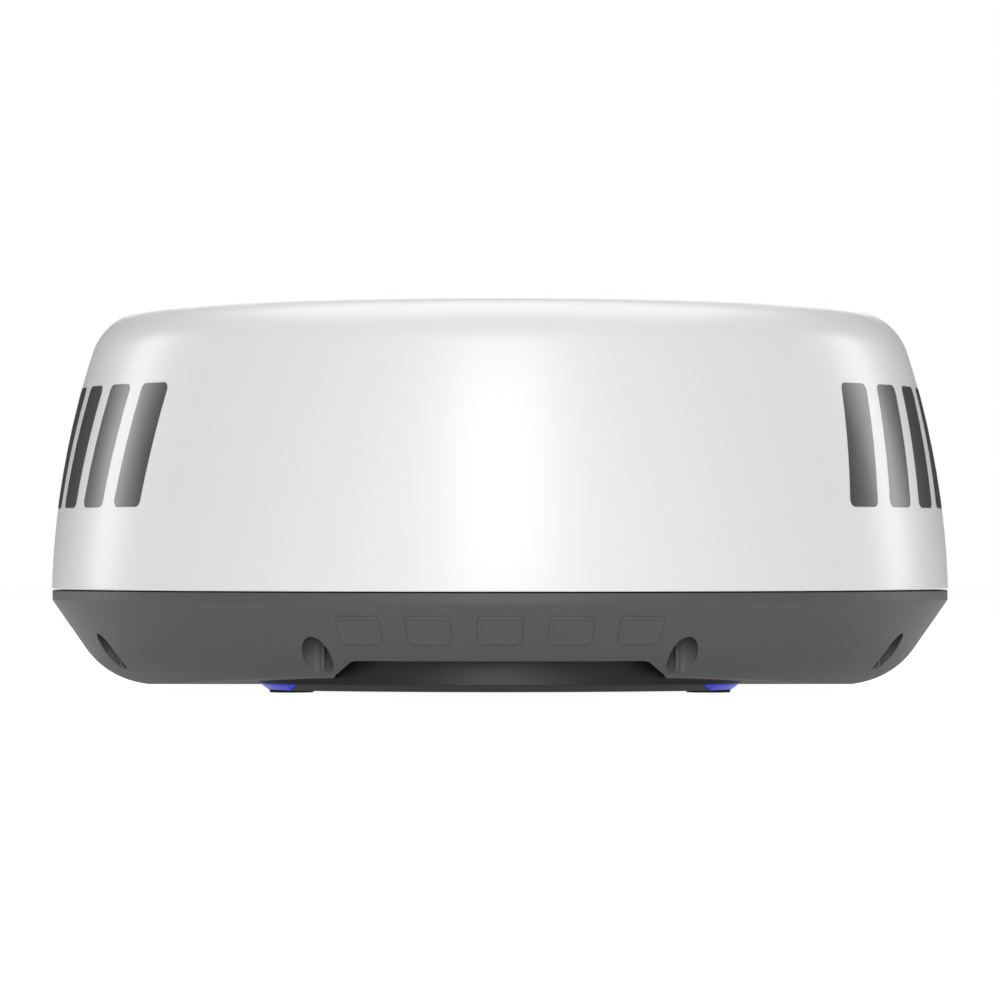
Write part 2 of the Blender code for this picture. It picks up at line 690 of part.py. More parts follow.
def make_lenses(mats):
    for side, word in ((-1, "left"), (1, "right")):
        near = PLINTH_CORNER - LENS_DEPTH
        far = PLINTH_CORNER + REACH
        low, high = PLINTH_BOTTOM + GAP, PLINTH_BOTTOM + LENS_HEIGHT
        lens = corner_block(f"accent_lens_{word}", side, near, far, LENS_HALF_LENGTH, low, high, mats)
        boolean(lens, "INTERSECT", plinth_block("lens_envelope", mats))
        width, length, thickness = LED_BOARD
        board_far = PLINTH_CORNER - PLINTH_WALL - 4 * GAP
        bottom = FLOOR_Z + GAP
        corner_block(
            f"accent_led_board_{word}", side, board_far - width, board_far, length / 2, bottom,
            bottom + thickness, mats,
        )


def make_dome_screws(mats):
    for number, angle in enumerate(SCREW_ANGLES, 1):
        head_top = POCKET_TOP - GAP
        profile = [
            (0.0, DOME_BOTTOM + SCREW_ENGAGEMENT),
            (SCREW_RADIUS, DOME_BOTTOM + SCREW_ENGAGEMENT),
            (SCREW_RADIUS, head_top),
            (SCREW_HEAD_RADIUS, head_top),
            (SCREW_HEAD_RADIUS, head_top - SCREW_HEAD_HEIGHT),
            (0.0, head_top - SCREW_HEAD_HEIGHT),
        ]
        x, y = polar(SCREW_CIRCLE, angle)
        turned(f"dome_screw_{number}", profile, mats["stainless"], FEW, (x, y, 0.0))


def make_seal(mats):
    low = RIM_TOP - SEAL_DEPTH + GAP
    inner, outer = SEAL_RADIUS - SEAL_WIDTH / 2, SEAL_RADIUS + SEAL_WIDTH / 2
    ring("dome_seal", inner, outer, low, DOME_BOTTOM - GAP, mats["rubber_black"], SEGMENTS)


def make_socket(mats):
    shell = turned(
        "cable_socket_shell",
        [
            (SOCKET_BORE, SOCKET_REACH),
            (SOCKET_RADIUS, SOCKET_REACH),
            (SOCKET_RADIUS, GAP + SOCKET_FLANGE),
            (SOCKET_FLANGE_RADIUS, GAP + SOCKET_FLANGE),
            (SOCKET_FLANGE_RADIUS, GAP),
            (SOCKET_RADIUS, GAP),
            (SOCKET_RADIUS, -SOCKET_TAIL),
            (SOCKET_BORE, -SOCKET_TAIL),
        ],
        mats["black_plastic"], SOME,
    )
    aim_rearwards(shell)
    radius = SOCKET_BORE - GAP
    faces = [(radius, -PIN_RADIUS * 2), (radius, PIN_RADIUS * 2 - SOCKET_TAIL)]
    insert = rear_turned("cable_socket_insert", faces, mats, "black_plastic")
    for turn in range(SOCKET_PINS):
        x, z = polar(PIN_CIRCLE, math.tau * turn / SOCKET_PINS)
        low = -0.4 * PIN_LENGTH
        pin = cylinder("socket_pin", x, -z, PIN_RADIUS, low, low + PIN_LENGTH, mats["brass"], 6)
        boolean(insert, "UNION", aim_rearwards(pin))
    nut_top = -PLINTH_WALL - GAP
    nut_outline = circle(0.0, 0.0, NUT_RADIUS, 6)
    nut = extruded("cable_socket_nut", nut_outline, nut_top - NUT_THICKNESS, nut_top, mats["stainless"])
    clear = cylinder("nut_bore", 0.0, 0.0, SOCKET_RADIUS + GAP, -REACH, REACH, mats["stainless"])
    boolean(aim_rearwards(nut), "DIFFERENCE", aim_rearwards(clear))


def make_breather(mats):
    seat = PLINTH_BOTTOM - GAP
    low, high = seat - BREATHER_CAP, FLOOR_Z + PLINTH_WALL / 5
    profile = [
        (BREATHER_BORE, high),
        (BREATHER_STEM, high),
        (BREATHER_STEM, seat),
        (BREATHER_RADIUS, seat),
        (BREATHER_RADIUS, low),
        (BREATHER_BORE, low),
    ]
    turned("breather_vent", profile, mats["black_plastic"], SOME, (BREATHER_X, BREATHER_Y, 0.0))


def make_board(name, rectangle_on_floor, parts, mats):
    """A board with blocks on it, each given as its middle and size in shares of the board."""
    low_x, low_y, high_x, high_y = rectangle_on_floor
    board = block(name, (low_x, low_y, BOARD_Z), (high_x, high_y, BOARD_Z + BOARD), mats["board_green"])
    for u, v, wide, deep, tall in parts:
        x, y = low_x + u * (high_x - low_x), low_y + v * (high_y - low_y)
        low = (x - wide / 2, y - deep / 2, BOARD_Z + BOARD / 2)
        high = (x + wide / 2, y + deep / 2, BOARD_Z + BOARD + tall)
        boolean(board, "UNION", block("board_part", low, high, mats["board_green"]))
    return board


def make_electronics(mats):
    places = board_places()
    main_parts = [
        (0.50, 0.55, 0.028, 0.028, 0.003),
        (0.30, 0.80, 0.014, 0.010, 0.002),
        (0.70, 0.80, 0.014, 0.010, 0.002),
        (0.50, 0.25, 0.018, 0.018, 0.002),
        (0.50, 0.93, 0.020, 0.006, 0.006),
    ]
    power_parts = [
        (0.45, 0.55, 0.026, 0.024, 0.014),
        (0.50, 0.30, 0.018, 0.018, 0.010),
        (0.35, 0.75, 0.014, 0.010, 0.004),
        (0.30, 0.95, 0.014, 0.008, 0.005),
    ]
    make_board("main_board", places["main_board"], main_parts, mats)
    make_board("power_board", places["power_board"], power_parts, mats)
    make_board("transceiver_board", places["transceiver_board"], [], mats)
    margin = 3 * STANDOFF_RADIUS
    low_x, low_y, high_x, high_y = places["transceiver_board"]
    bottom = BOARD_Z + BOARD + GAP
    top = bottom + SHIELD_HEIGHT
    wall = SHIELD_WALL
    shield = block(
        "transceiver_shield", (low_x + margin, low_y + margin, bottom),
        (high_x - margin, high_y - margin, top), mats["cast_aluminium"],
    )
    hollow = block(
        "shield_hollow", (low_x + margin + wall, low_y + margin + wall, bottom - REACH),
        (high_x - margin - wall, high_y - margin - wall, top - wall), mats["cast_aluminium"],
    )
    boolean(shield, "DIFFERENCE", hollow)


def make_spindle(mats):
    flange_low = FLOOR_Z + GAP
    flange_high = flange_low + SPINDLE_FLANGE_HEIGHT
    profile = [
        (SPINDLE_BORE, SPINDLE_TOP),
        (SPINDLE_RADIUS, SPINDLE_TOP),
        (SPINDLE_RADIUS, LOWER_BEARING_Z - GAP),
        (SPINDLE_SHOULDER, LOWER_BEARING_Z - GAP),
        (SPINDLE_SHOULDER, flange_high),
        (SPINDLE_FLANGE_RADIUS, flange_high),
        (SPINDLE_FLANGE_RADIUS, flange_low),
        (SPINDLE_BORE, flange_low),
    ]
    spindle = turned("spindle", profile, mats["cast_aluminium"], MANY)
    half = LEAD_WINDOW_WIDTH / 2
    window_top = flange_high + LEAD_WINDOW_HEIGHT
    window = block(
        "lead_window", (-half, -SPINDLE_SHOULDER - REACH / 4, flange_high + GAP), (half, 0.0, window_top),
        mats["cast_aluminium"],
    )
    boolean(spindle, "DIFFERENCE", window)
    low, high = window_top, SPINDLE_TOP - 2 * GAP
    cylinder("rotary_joint_stator", 0.0, 0.0, SPINDLE_BORE - GAP, low, high, mats["brass"])


def make_bearings(mats):
    inner_low = SPINDLE_RADIUS + GAP
    for word, height in (("lower", LOWER_BEARING_Z), ("upper", UPPER_BEARING_Z)):
        inner_high = inner_low + RACE_WALL
        top = height + BEARING_WIDTH
        steel = mats["stainless"]
        ring(f"{word}_bearing_inner", inner_low, inner_high, height, top, steel, MANY)
        ring(f"{word}_bearing_outer", inner_high + GAP, BEARING_RADIUS, height, top, steel, MANY)


def make_driven_pulley(mats):
    bore = BEARING_RADIUS + GAP
    step = BEARING_RADIUS - RACE_WALL / 2
    belt_middle = BELT_Z + BELT_WIDTH / 2
    rim_low, rim_high = BELT_Z - GAP, BELT_Z + BELT_WIDTH + GAP
    web_low, web_high = belt_middle - PULLEY_WEB / 2, belt_middle + PULLEY_WEB / 2
    rim_inner = DRIVEN_PULLEY_RADIUS - PULLEY_RIM
    profile = [
        (bore, HUB_TOP),
        (HUB_RADIUS, HUB_TOP),
        (HUB_RADIUS, web_high),
        (rim_inner, web_high),
        (rim_inner, rim_high),
        (DRIVEN_PULLEY_RADIUS, rim_high),
        (DRIVEN_PULLEY_RADIUS, rim_low),
        (rim_inner, rim_low),
        (rim_inner, web_low),
        (HUB_RADIUS, web_low),
        (HUB_RADIUS, LOWER_BEARING_Z),
        (bore, LOWER_BEARING_Z),
        (bore, LOWER_BEARING_Z + BEARING_WIDTH + GAP),
        (step, LOWER_BEARING_Z + BEARING_WIDTH + GAP),
        (step, UPPER_BEARING_Z - GAP),
        (bore, UPPER_BEARING_Z - GAP),
    ]
    turned("driven_pulley", profile, mats["black_plastic"], MANY)
    x, y = polar(rim_inner * INDEX_SHARE, math.radians(45))
    top = web_low - GAP
    cylinder("index_magnet", x, y, MAGNET_SIZE, top - MAGNET_SIZE, top, mats["stainless"], FEW)


def make_motor(mats):
    axis = bpy.data.objects.new("motor_axis", None)
    axis.location = (0.0, MOTOR_Y, 0.0)
    bpy.context.scene.collection.objects.link(axis)
    half = MOTOR_SIDE / 2
    cut = MOTOR_CORNER_CUT
    outline = [
        (sx * (half - dx), MOTOR_Y + sy * (half - dy))
        for sx, sy, dx, dy in (
            (1, -1, cut, 0), (1, -1, 0, cut), (1, 1, 0, cut), (1, 1, cut, 0),
            (-1, 1, cut, 0), (-1, 1, 0, cut), (-1, -1, 0, cut), (-1, -1, cut, 0),
        )
    ]
    extruded("motor_body", outline, MOTOR_TOP - MOTOR_HEIGHT, MOTOR_TOP, mats["motor_steel"])
    plate_low = MOTOR_TOP + GAP
    shaft_top = BELT_Z + BELT_WIDTH + SHAFT_END
    shaft = cylinder("motor_shaft", 0.0, 0.0, SHAFT_RADIUS, plate_low, shaft_top, mats["stainless"], FEW)
    shaft.parent = axis
    pulley = make_drive_pulley(mats, plate_low + PLATE + GAP)
    pulley.parent = axis
    make_motor_bracket(mats, plate_low)


def make_drive_pulley(mats, bottom):
    bore = SHAFT_RADIUS + GAP
    edge = DRIVE_PULLEY_RADIUS + BELT_THICKNESS + GAP
    low, high = BELT_Z - GAP, BELT_Z + BELT_WIDTH + GAP
    profile = [
        (bore, high + PULLEY_FLANGE),
        (edge, high + PULLEY_FLANGE),
        (edge, high),
        (DRIVE_PULLEY_RADIUS, high),
        (DRIVE_PULLEY_RADIUS, low),
        (edge, low),
        (edge, bottom),
        (bore, bottom),
    ]
    return turned("drive_pulley", profile, mats["black_plastic"], SOME)


def make_motor_bracket(mats, plate_low):
    steel = mats["cast_aluminium"]
    half_x, half_y = MOTOR_SIDE / 2 + 2 * PLATE, MOTOR_SIDE / 2
    back, front = MOTOR_Y + half_y, MOTOR_Y - half_y
    bracket = block("motor_bracket", (-half_x, front, plate_low), (half_x, back, plate_low + PLATE), steel)
    for side in (-1, 1):
        near, far = sorted((side * half_x, side * (half_x - PLATE)))
        leg = block("bracket_leg", (near, front, FLOOR_Z + GAP), (far, back, plate_low + PLATE / 2), steel)
        inner, outer = sorted((side * (half_x - PLATE / 2), side * (half_x + BRACKET_FOOT)))
        foot = block("bracket_foot", (inner, front, FLOOR_Z + GAP), (outer, back, FLOOR_Z + GAP + PLATE), steel)
        boolean(bracket, "UNION", leg, foot)
    low, high = plate_low - REACH / 4, plate_low + REACH / 2
    hole = cylinder("shaft_hole", 0.0, MOTOR_Y, 2 * SHAFT_RADIUS, low, high, steel)
    boolean(bracket, "DIFFERENCE", hole)


def belt_outline(offset):
    """The outer tangent loop round both pulleys, which is offset beyond their faces."""
    large, small = DRIVEN_PULLEY_RADIUS + offset, DRIVE_PULLEY_RADIUS + offset
    lean = math.asin((large - small) / MOTOR_Y)
    motor_end = arc((0.0, MOTOR_Y), small, lean, math.pi - lean, FEW)
    hub_end = arc((0.0, 0.0), large, math.pi - lean, math.tau + lean, MANY)
    return motor_end + hub_end


def make_belt(mats):
    low, high = BELT_Z, BELT_Z + BELT_WIDTH
    belt = extruded("drive_belt", belt_outline(GAP + BELT_THICKNESS), low, high, mats["rubber_black"])
    loop = extruded("belt_loop", belt_outline(GAP), low - REACH, high + REACH, mats["rubber_black"])
    boolean(belt, "DIFFERENCE", loop)


def make_index_sensor(mats):
    radius = (DRIVEN_PULLEY_RADIUS - PULLEY_RIM) * INDEX_SHARE
    x, y = polar(radius, math.radians(225))
    plastic = mats["black_plastic"]
    low = FLOOR_Z + GAP
    top = BELT_Z - SENSOR_GAP
    half, post, ledge = SENSOR_WIDTH / 2, 0.15 * SENSOR_WIDTH, 0.1 * SENSOR_WIDTH
    sensor = block("index_sensor", (x - half, y - post, low), (x + half, y + post, top), plastic)
    foot_low = (x - half, y - SENSOR_WIDTH - ledge, low)
    foot = block("sensor_foot", foot_low, (x + half, y + ledge, low + PLATE), plastic)
    head_low = (x - half - ledge, y - 4 * ledge, top - 3 * ledge)
    head = block("sensor_head", head_low, (x + half + ledge, y + 4 * ledge, top), plastic)
    boolean(sensor, "UNION", foot, head)


def array_half_span():
    """Half the array's length: its front corners clear the dome's inner face as they swing."""
    front = TRAY_BACK_Y + TRAY_DEPTH + GAP + BOARD
    room = dome_inner_radius(ARRAY_BOTTOM + ARRAY_HEIGHT) - SWING_CLEARANCE
    return math.sqrt(room**2 - front**2)


def make_array(mats):
    half = array_half_span()
    back, front = -TRAY_BACK_Y, -TRAY_BACK_Y - TRAY_DEPTH
    low, high = ARRAY_BOTTOM, ARRAY_BOTTOM + ARRAY_HEIGHT
    wall = TRAY_WALL
    tray = block("array_tray", (-half, front, low), (half, back, high), mats["cast_aluminium"])
    pocket_low = (wall - half, front - REACH, low + wall)
    pocket_high = (half - wall, back - wall, high - wall)
    boolean(tray, "DIFFERENCE", block("tray_pocket", pocket_low, pocket_high, mats["cast_aluminium"]))
    board_back = front - GAP
    block("array_board", (-half, board_back - BOARD, low), (half, board_back, high), mats["board_green"])


def make_array_bracket(mats):
    metal = mats["cast_aluminium"]
    low = HUB_TOP + GAP
    face = GAP - TRAY_BACK_Y
    half_base = BRACKET_HALF_WIDTH * 2 / 3
    bracket = block("array_bracket", (-half_base, face, low), (half_base, -face, BASE_TOP), metal)
    upright_low = (-BRACKET_HALF_WIDTH, face, low)
    upright_high = (BRACKET_HALF_WIDTH, face + BRACKET_PLATE, low + BRACKET_HEIGHT)
    boolean(bracket, "UNION", block("bracket_upright", upright_low, upright_high, metal))
    for side in (-1, 1):
        x = side * (ROTOR_FLANGE_RADIUS + BRACKET_PLATE)
        gusset = gusset_plate(x, face + BRACKET_PLATE / 2, low + BRACKET_PLATE / 2, metal)
        boolean(bracket, "UNION", gusset)
    radius, high = SPINDLE_SHOULDER + GAP, BASE_TOP + REACH / 2
    rotor_hole = cylinder("rotor_hole", 0.0, 0.0, radius, low - REACH, high, metal)
    half = FEED_HOLE / 2
    hole_low = (-half, face - REACH / 2, FEED_HEIGHT - half)
    lead_hole = block("lead_hole", hole_low, (half, face + REACH / 2, FEED_HEIGHT + half), metal)
    boolean(bracket, "DIFFERENCE", rotor_hole, lead_hole)


def gusset_plate(x, y, z, metal):
    """A triangular web between the bracket's base and its upright."""
    shape = bmesh.new()
    corners = [(y, z), (y + GUSSET_DEPTH, z), (y, z + GUSSET_HEIGHT)]
    sides = [
        [shape.verts.new((x + offset, v, w)) for v, w in corners]
        for offset in (-BRACKET_PLATE / 2, BRACKET_PLATE / 2)
    ]
    shape.faces.new(sides[0])
    shape.faces.new(sides[1])
    for i in range(3):
        j = (i + 1) % 3
        shape.faces.new((sides[0][i], sides[0][j], sides[1][j], sides[1][i]))
    return finish("gusset", shape, metal, smooth=False)


def make_rotor(mats):
    low = BASE_TOP + GAP
    stem_low = SPINDLE_TOP + GAP
    nub_radius, nub_height = ROTOR_NUB
    nub_top, flange_top = low + nub_height, low + ROTOR_FLANGE_THICKNESS
    profile = [
        (0.0, nub_top),
        (nub_radius, nub_top),
        (nub_radius, flange_top),
        (ROTOR_FLANGE_RADIUS, flange_top),
        (ROTOR_FLANGE_RADIUS, low),
        (ROTOR_STEM_RADIUS, low),
        (ROTOR_STEM_RADIUS, stem_low),
        (0.0, stem_low),
    ]
    turned("rotary_joint_rotor", profile, mats["brass"], SOME)
    return nub_top


def tube(name, points, radius, finish_material):
    """A round lead along a smooth curve through its points."""
    curve = bpy.data.curves.new(name, "CURVE")
    curve.dimensions = "3D"
    spline = curve.splines.new("POLY")
    smooth = smooth_route(points)
    spline.points.add(len(smooth) - 1)
    for point, place in zip(spline.points, smooth):
        point.co = (*place, 1.0)
    curve.bevel_depth = radius
    curve.bevel_resolution = 1
    curve.use_fill_caps = True
    curve.materials.append(finish_material)
    made = bpy.data.objects.new(name, curve)
    bpy.context.scene.collection.objects.link(made)
    return made


def smooth_route(points, steps=3):
    """Catmull-Rom points through a route, steps to each span."""
    ends = [points[0]] + points + [points[-1]]
    route = []
    for a, b, c, d in zip(ends, ends[1:], ends[2:], ends[3:]):
        for i in range(steps):
            t = i / steps
            route.append([
                (2 * q + (r - p) * t + (2 * p - 5 * q + 4 * r - s) * t**2 + (3 * q - p - 3 * r + s) * t**3) / 2
                for p, q, r, s in zip(a, b, c, d)
            ])
    return route + [points[-1]]


def make_leads(mats, rotor_top):
    """The leads' routes are points chosen by hand, tied to the sizes of what they join."""
    rubber = mats["rubber_black"]
    start = NOSE_RADIUS - SOCKET_TAIL - GAP
    board_top = BOARD_Z + BOARD
    supply = [
        (0.0, start, SOCKET_Z), (0.0, start - 0.014, SOCKET_Z + 0.003), (0.015, start - 0.030, 0.022),
        (0.036, start - 0.050, 0.027), (0.052, start - 0.066, 0.032), (0.061, SIDE_BOARD_BACK_Y, 0.034),
        (0.062, SIDE_BOARD_BACK_Y - 0.0078, 0.0285), (0.062, SIDE_BOARD_BACK_Y - 0.0078, board_top + 0.0056),
    ]
    tube("supply_lead", supply, SUPPLY_LEAD, rubber)
    motor_face = MOTOR_Y - MOTOR_SIDE / 2 - GAP
    motor = [
        (0.012, motor_face, 0.028), (0.014, motor_face - 0.008, 0.028), (0.030, motor_face - 0.013, 0.027),
        (0.050, motor_face - 0.018, 0.028), (0.062, motor_face - 0.021, 0.0265),
        (0.065, motor_face - 0.022, board_top + 0.0075), (0.065, motor_face - 0.022, board_top + 0.0048),
    ]
    tube("motor_lead", motor, MOTOR_LEAD, rubber)
    shield_face = RF_BOARD_BACK_Y - 3 * STANDOFF_RADIUS + GAP
    window_z = FLOOR_Z + SPINDLE_FLANGE_HEIGHT + 0.0045
    signal = [
        (0.0, shield_face, 0.026), (0.0, shield_face + 0.012, 0.024), (0.0, shield_face + 0.030, window_z),
        (0.0, -0.016, window_z), (0.0, -0.006, window_z), (0.0, -0.0012, window_z + 0.0012),
        (0.0, 0.0, window_z + 0.0046),
    ]
    tube("signal_lead", signal, SIGNAL_LEAD, rubber)
    face = -TRAY_BACK_Y + GAP
    feed = [
        (0.0, 0.0, rotor_top + GAP), (0.0, 0.0, rotor_top + 0.010), (0.0, -0.003, rotor_top + 0.020),
        (0.0, -0.010, FEED_HEIGHT - 0.0025), (0.0, -0.018, FEED_HEIGHT), (0.0, face, FEED_HEIGHT),
    ]
    tube("feed_lead", feed, FEED_LEAD, rubber)


def main():
    clear_scene()
    mats = make_materials()
    make_radome(mats)
    make_skirt(mats)
    make_chassis(mats)
    make_pads_and_inserts(mats)
    make_lenses(mats)
    make_dome_screws(mats)
    make_seal(mats)
    make_socket(mats)
    make_breather(mats)
    make_electronics(mats)
    make_spindle(mats)
    make_bearings(mats)
    make_driven_pulley(mats)
    make_motor(mats)
    make_belt(mats)
    make_index_sensor(mats)
    make_array(mats)
    make_array_bracket(mats)
    make_leads(mats, make_rotor(mats))


main()
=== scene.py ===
"""Fine surfaces, finishes, light and camera for the radar dome antenna.

Metres, +Z up, front towards -Y. The origin is the middle of the plane under the mounting pads.
A shell is a pair (points, faces). Shells are worked out as whole arrays and joined into pieces.
"""
import json
import math

import bmesh
import bpy
import numpy as np
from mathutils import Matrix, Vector


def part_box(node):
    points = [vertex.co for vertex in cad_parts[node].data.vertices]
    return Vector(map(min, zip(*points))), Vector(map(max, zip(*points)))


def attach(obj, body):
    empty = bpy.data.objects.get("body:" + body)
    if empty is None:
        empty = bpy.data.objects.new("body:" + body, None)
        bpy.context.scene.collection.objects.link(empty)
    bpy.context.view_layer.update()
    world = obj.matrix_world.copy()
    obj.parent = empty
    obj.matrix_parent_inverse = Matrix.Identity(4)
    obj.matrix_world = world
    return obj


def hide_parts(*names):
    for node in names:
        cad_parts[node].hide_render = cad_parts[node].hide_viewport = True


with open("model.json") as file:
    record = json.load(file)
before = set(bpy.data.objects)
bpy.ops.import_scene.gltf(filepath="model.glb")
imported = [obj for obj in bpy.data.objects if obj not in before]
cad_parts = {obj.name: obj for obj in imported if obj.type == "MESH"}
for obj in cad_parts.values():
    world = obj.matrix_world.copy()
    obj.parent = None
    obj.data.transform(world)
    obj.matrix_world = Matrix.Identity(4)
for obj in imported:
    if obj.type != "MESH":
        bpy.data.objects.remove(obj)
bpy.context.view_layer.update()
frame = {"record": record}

TAU = math.tau
MM = 0.001
BODY_OF = {node: body for body, nodes in frame["record"]["behaviour"]["bodies"].items() for node in nodes}

# Dome: three arcs, each tangent to the next, from the seam to the crown.
DOME_RADIUS = 255.5 * MM
DOME_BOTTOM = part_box("radome")[0].z
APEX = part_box("radome")[1].z
DOME_WALL = 3.2 * MM
WALL_ARC = 482 * MM
WALL_DROP = 13.85 * MM
SHOULDER_ARC = 34.8 * MM
CROWN_ARC = 1828 * MM
FLANGE_INNER = 224.5 * MM
FLANGE_HEIGHT = 5 * MM

# Skirt: lip, slope, fillet and a bottom that rises towards the front and the back.
SKIRT_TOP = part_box("skirt")[1].z
LIP_RADIUS = 255 * MM
SLOPE_TOP = SKIRT_TOP - 5.5 * MM
SLOPE_ANGLE = math.radians(34.6)
SKIRT_FILLET = 47 * MM
SKIRT_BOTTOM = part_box("skirt")[0].z
SKIRT_WALL = 3 * MM
ROCKER = 2.6
EASE = 0.5 * MM

# Screws and their pockets.
SCREW_CIRCLE = 234 * MM
SCREW_ANGLES = np.radians([side + turn for side in (0, 180) for turn in (23.0, 65.4, 114.6, 157.0)])
SLEEVE_TOP = 51.9 * MM
POCKET_TOP = 48.6 * MM
POCKET_RADIUS = 8.4 * MM
RIB_WIDTH = 2.6 * MM
RIB_DEPTH = 3.5 * MM
SCREW_HOLE = 2.8 * MM

# Plinth and bowl of the chassis casting.
PLINTH_X = 131.4 * MM
PLINTH_CORNER = 40 * MM
NOSE = 205 * MM
PLINTH_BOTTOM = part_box("chassis")[0].z
PLINTH_TOP = 24 * MM
CHAMFER = np.array((4.9, 3.6)) * MM
WELL_WALL = 5 * MM
FLOOR = PLINTH_BOTTOM + 5.5 * MM
PAN = 15.5 * MM
CAST_WALL = 3.5 * MM
BOWL = 220 * MM
RIM_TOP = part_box("chassis")[1].z
RIM_BOTTOM = RIM_TOP - 4.4 * MM
RIM_RADIUS = 249 * MM
MOUNTS = [(sx * 116.5 * MM, sy * 70.75 * MM) for sy in (-1, 1) for sx in (-1, 1)]

# Turns for parts drawn flat. FORWARDS lays their +Z along -Y, and REARWARDS along +Y. MIRRORED swaps
# +Y and +Z.
FORWARDS = [(1, 0, 0), (0, 0, -1), (0, 1, 0)]
REARWARDS = [(1, 0, 0), (0, 0, 1), (0, -1, 0)]
MIRRORED = [(1, 0, 0), (0, 0, 1), (0, 1, 0)]

# The boards' finishes in the order of their numbers, the belt drive and the leads.
BOARD_FINISHES = (
    "board_green", "solder_tin", "black_plastic", "part_ceramic", "cast_aluminium", "copper_gold",
    "nylon_white"
)
BOARD_THICK = 1.6 * MM
DRIVEN_RADIUS = (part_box("driven_pulley")[1].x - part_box("driven_pulley")[0].x) / 2
DRIVE_RADIUS = DRIVEN_RADIUS / 6
MOTOR_Y = (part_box("motor_shaft")[0].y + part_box("motor_shaft")[1].y) / 2
BELT_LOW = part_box("drive_belt")[0].z
BELT_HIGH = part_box("drive_belt")[1].z
MOTOR_LEAD_END = 66.7 * MM
FEED_HEIGHT = 135 * MM

# Light, floor and camera.
WORLD_LIGHT = 0.06
FLOOR_GLOW, FLOOR_SEEN = 0.42, 0.95
AIM = (0.0, 0.0, 0.12)
# For each lamp: its place, its width and height, and its power.
LAMPS = {
    "key": ((0.0, -2.6, 1.0), (1.15, 1.9), 47.0),
    "rim_left": ((-1.8, 0.84, 0.6), (0.4, 1.2), 9.0),
    "rim_right": ((1.8, 0.84, 0.6), (0.4, 1.2), 9.0),
    "top": ((0.0, 0.6, 2.2), (2.4, 1.6), 34.0),
    "back": ((0.0, 2.4, 1.0), (1.3, 0.8), 9.0),
}
CAMERA_LENS = 208.8
CAMERA_AWAY, CAMERA_RISE, AIM_RISE = 3.315, 0.0222, 0.051


# ---------------------------------------------------------------- surfaces

def grid(points, close_rows=False, close_columns=False, caps=False):
    """A shell over a grid of points: point (i, j) makes a face with its neighbours in row i + 1 and
    column j + 1, counted round where that way is closed. Caps fill the first and the last row."""
    rows, columns = points.shape[:2]
    i, j = np.meshgrid(
        np.arange(rows if close_rows else rows - 1),
        np.arange(columns if close_columns else columns - 1), indexing="ij",
    )
    i, j = i.ravel(), j.ravel()
    k, l = (i + 1) % rows, (j + 1) % columns
    faces = np.stack((i * columns + j, i * columns + l, k * columns + l, k * columns + j), 1).tolist()
    if caps:
        faces += [list(range(columns)), list(range((rows - 1) * columns, rows * columns))]
    return points.reshape(-1, 3), faces


def arc(centre, radius, start, end, steps):
    """Points of a circle from one angle to another, both ends included."""
    a = np.linspace(start, end, steps + 1)
    return np.stack((centre[0] + radius * np.cos(a), centre[1] + radius * np.sin(a)), 1)


def eased(before, corner, after, radius, steps=4):
    """A corner of a line replaced by the arc that touches both sides: its ends lie radius / tan(half
    the inner angle) from the corner. One more point beyond each end keeps the flat sides flat."""
    before, corner, after = (np.asarray(p, float) for p in (before, corner, after))
    u, v = before - corner, after - corner
    long_u = np.linalg.norm(u, axis=-1, keepdims=True)
    long_v = np.linalg.norm(v, axis=-1, keepdims=True)
    u, v = u / long_u, v / long_v
    half = np.arccos(np.clip((u * v).sum(-1, keepdims=True), -1, 1)) / 2
    room = 0.46 * np.minimum(long_u, long_v)
    cut = np.minimum(radius / np.tan(half), room)
    radius = cut * np.tan(half)
    middle = (u + v) / np.linalg.norm(u + v, axis=-1, keepdims=True)
    centre = corner + middle * radius / np.sin(half)
    turn = math.pi - 2 * half
    t = np.linspace(0, 1, steps + 1)
    start, end = (corner + u * cut - centre), (corner + v * cut - centre)
    share = lambda w: (np.sin(w * turn) / np.sin(turn))[..., None]
    bow = centre[..., None, :] + start[..., None, :] * share(1 - t) + end[..., None, :] * share(t)
    support = np.minimum(0.5 * cut, room - cut + 1e-9)
    first = (corner + u * (cut + support))[..., None, :]
    last = (corner + v * (cut + support))[..., None, :]
    return np.concatenate((first, bow, last), -2)


def rounded(corners, radius, steps=4):
    """A closed outline with every corner eased. Corners that don't bend are left out."""
    p = np.asarray(corners, float)
    radius = np.broadcast_to(np.asarray(radius, float), len(p))[:, None]
    u, v = p - np.roll(p, 1, 0), np.roll(p, -1, 0) - p
    bend = np.abs(u[:, 0] * v[:, 1] - u[:, 1] * v[:, 0])
    bends = bend > 1e-6 * np.linalg.norm(u, axis=1) * np.linalg.norm(v, axis=1)
    p, radius = p[bends], radius[bends]
    return eased(np.roll(p, 1, 0), p, np.roll(p, -1, 0), radius, steps).reshape(-1, p.shape[1])


def spun(profile, segments=96, place=(0.0, 0.0), closed=True):
    """A profile of (radius, height) points turned about the upright axis through place."""
    angle = np.arange(segments) * TAU / segments
    r, z = np.asarray(profile, float).T
    x = place[0] + r[:, None] * np.cos(angle)
    y = place[1] + r[:, None] * np.sin(angle)
    points = np.stack((x, y, np.broadcast_to(z[:, None], x.shape)), -1)
    return grid(points, close_rows=closed, close_columns=True)


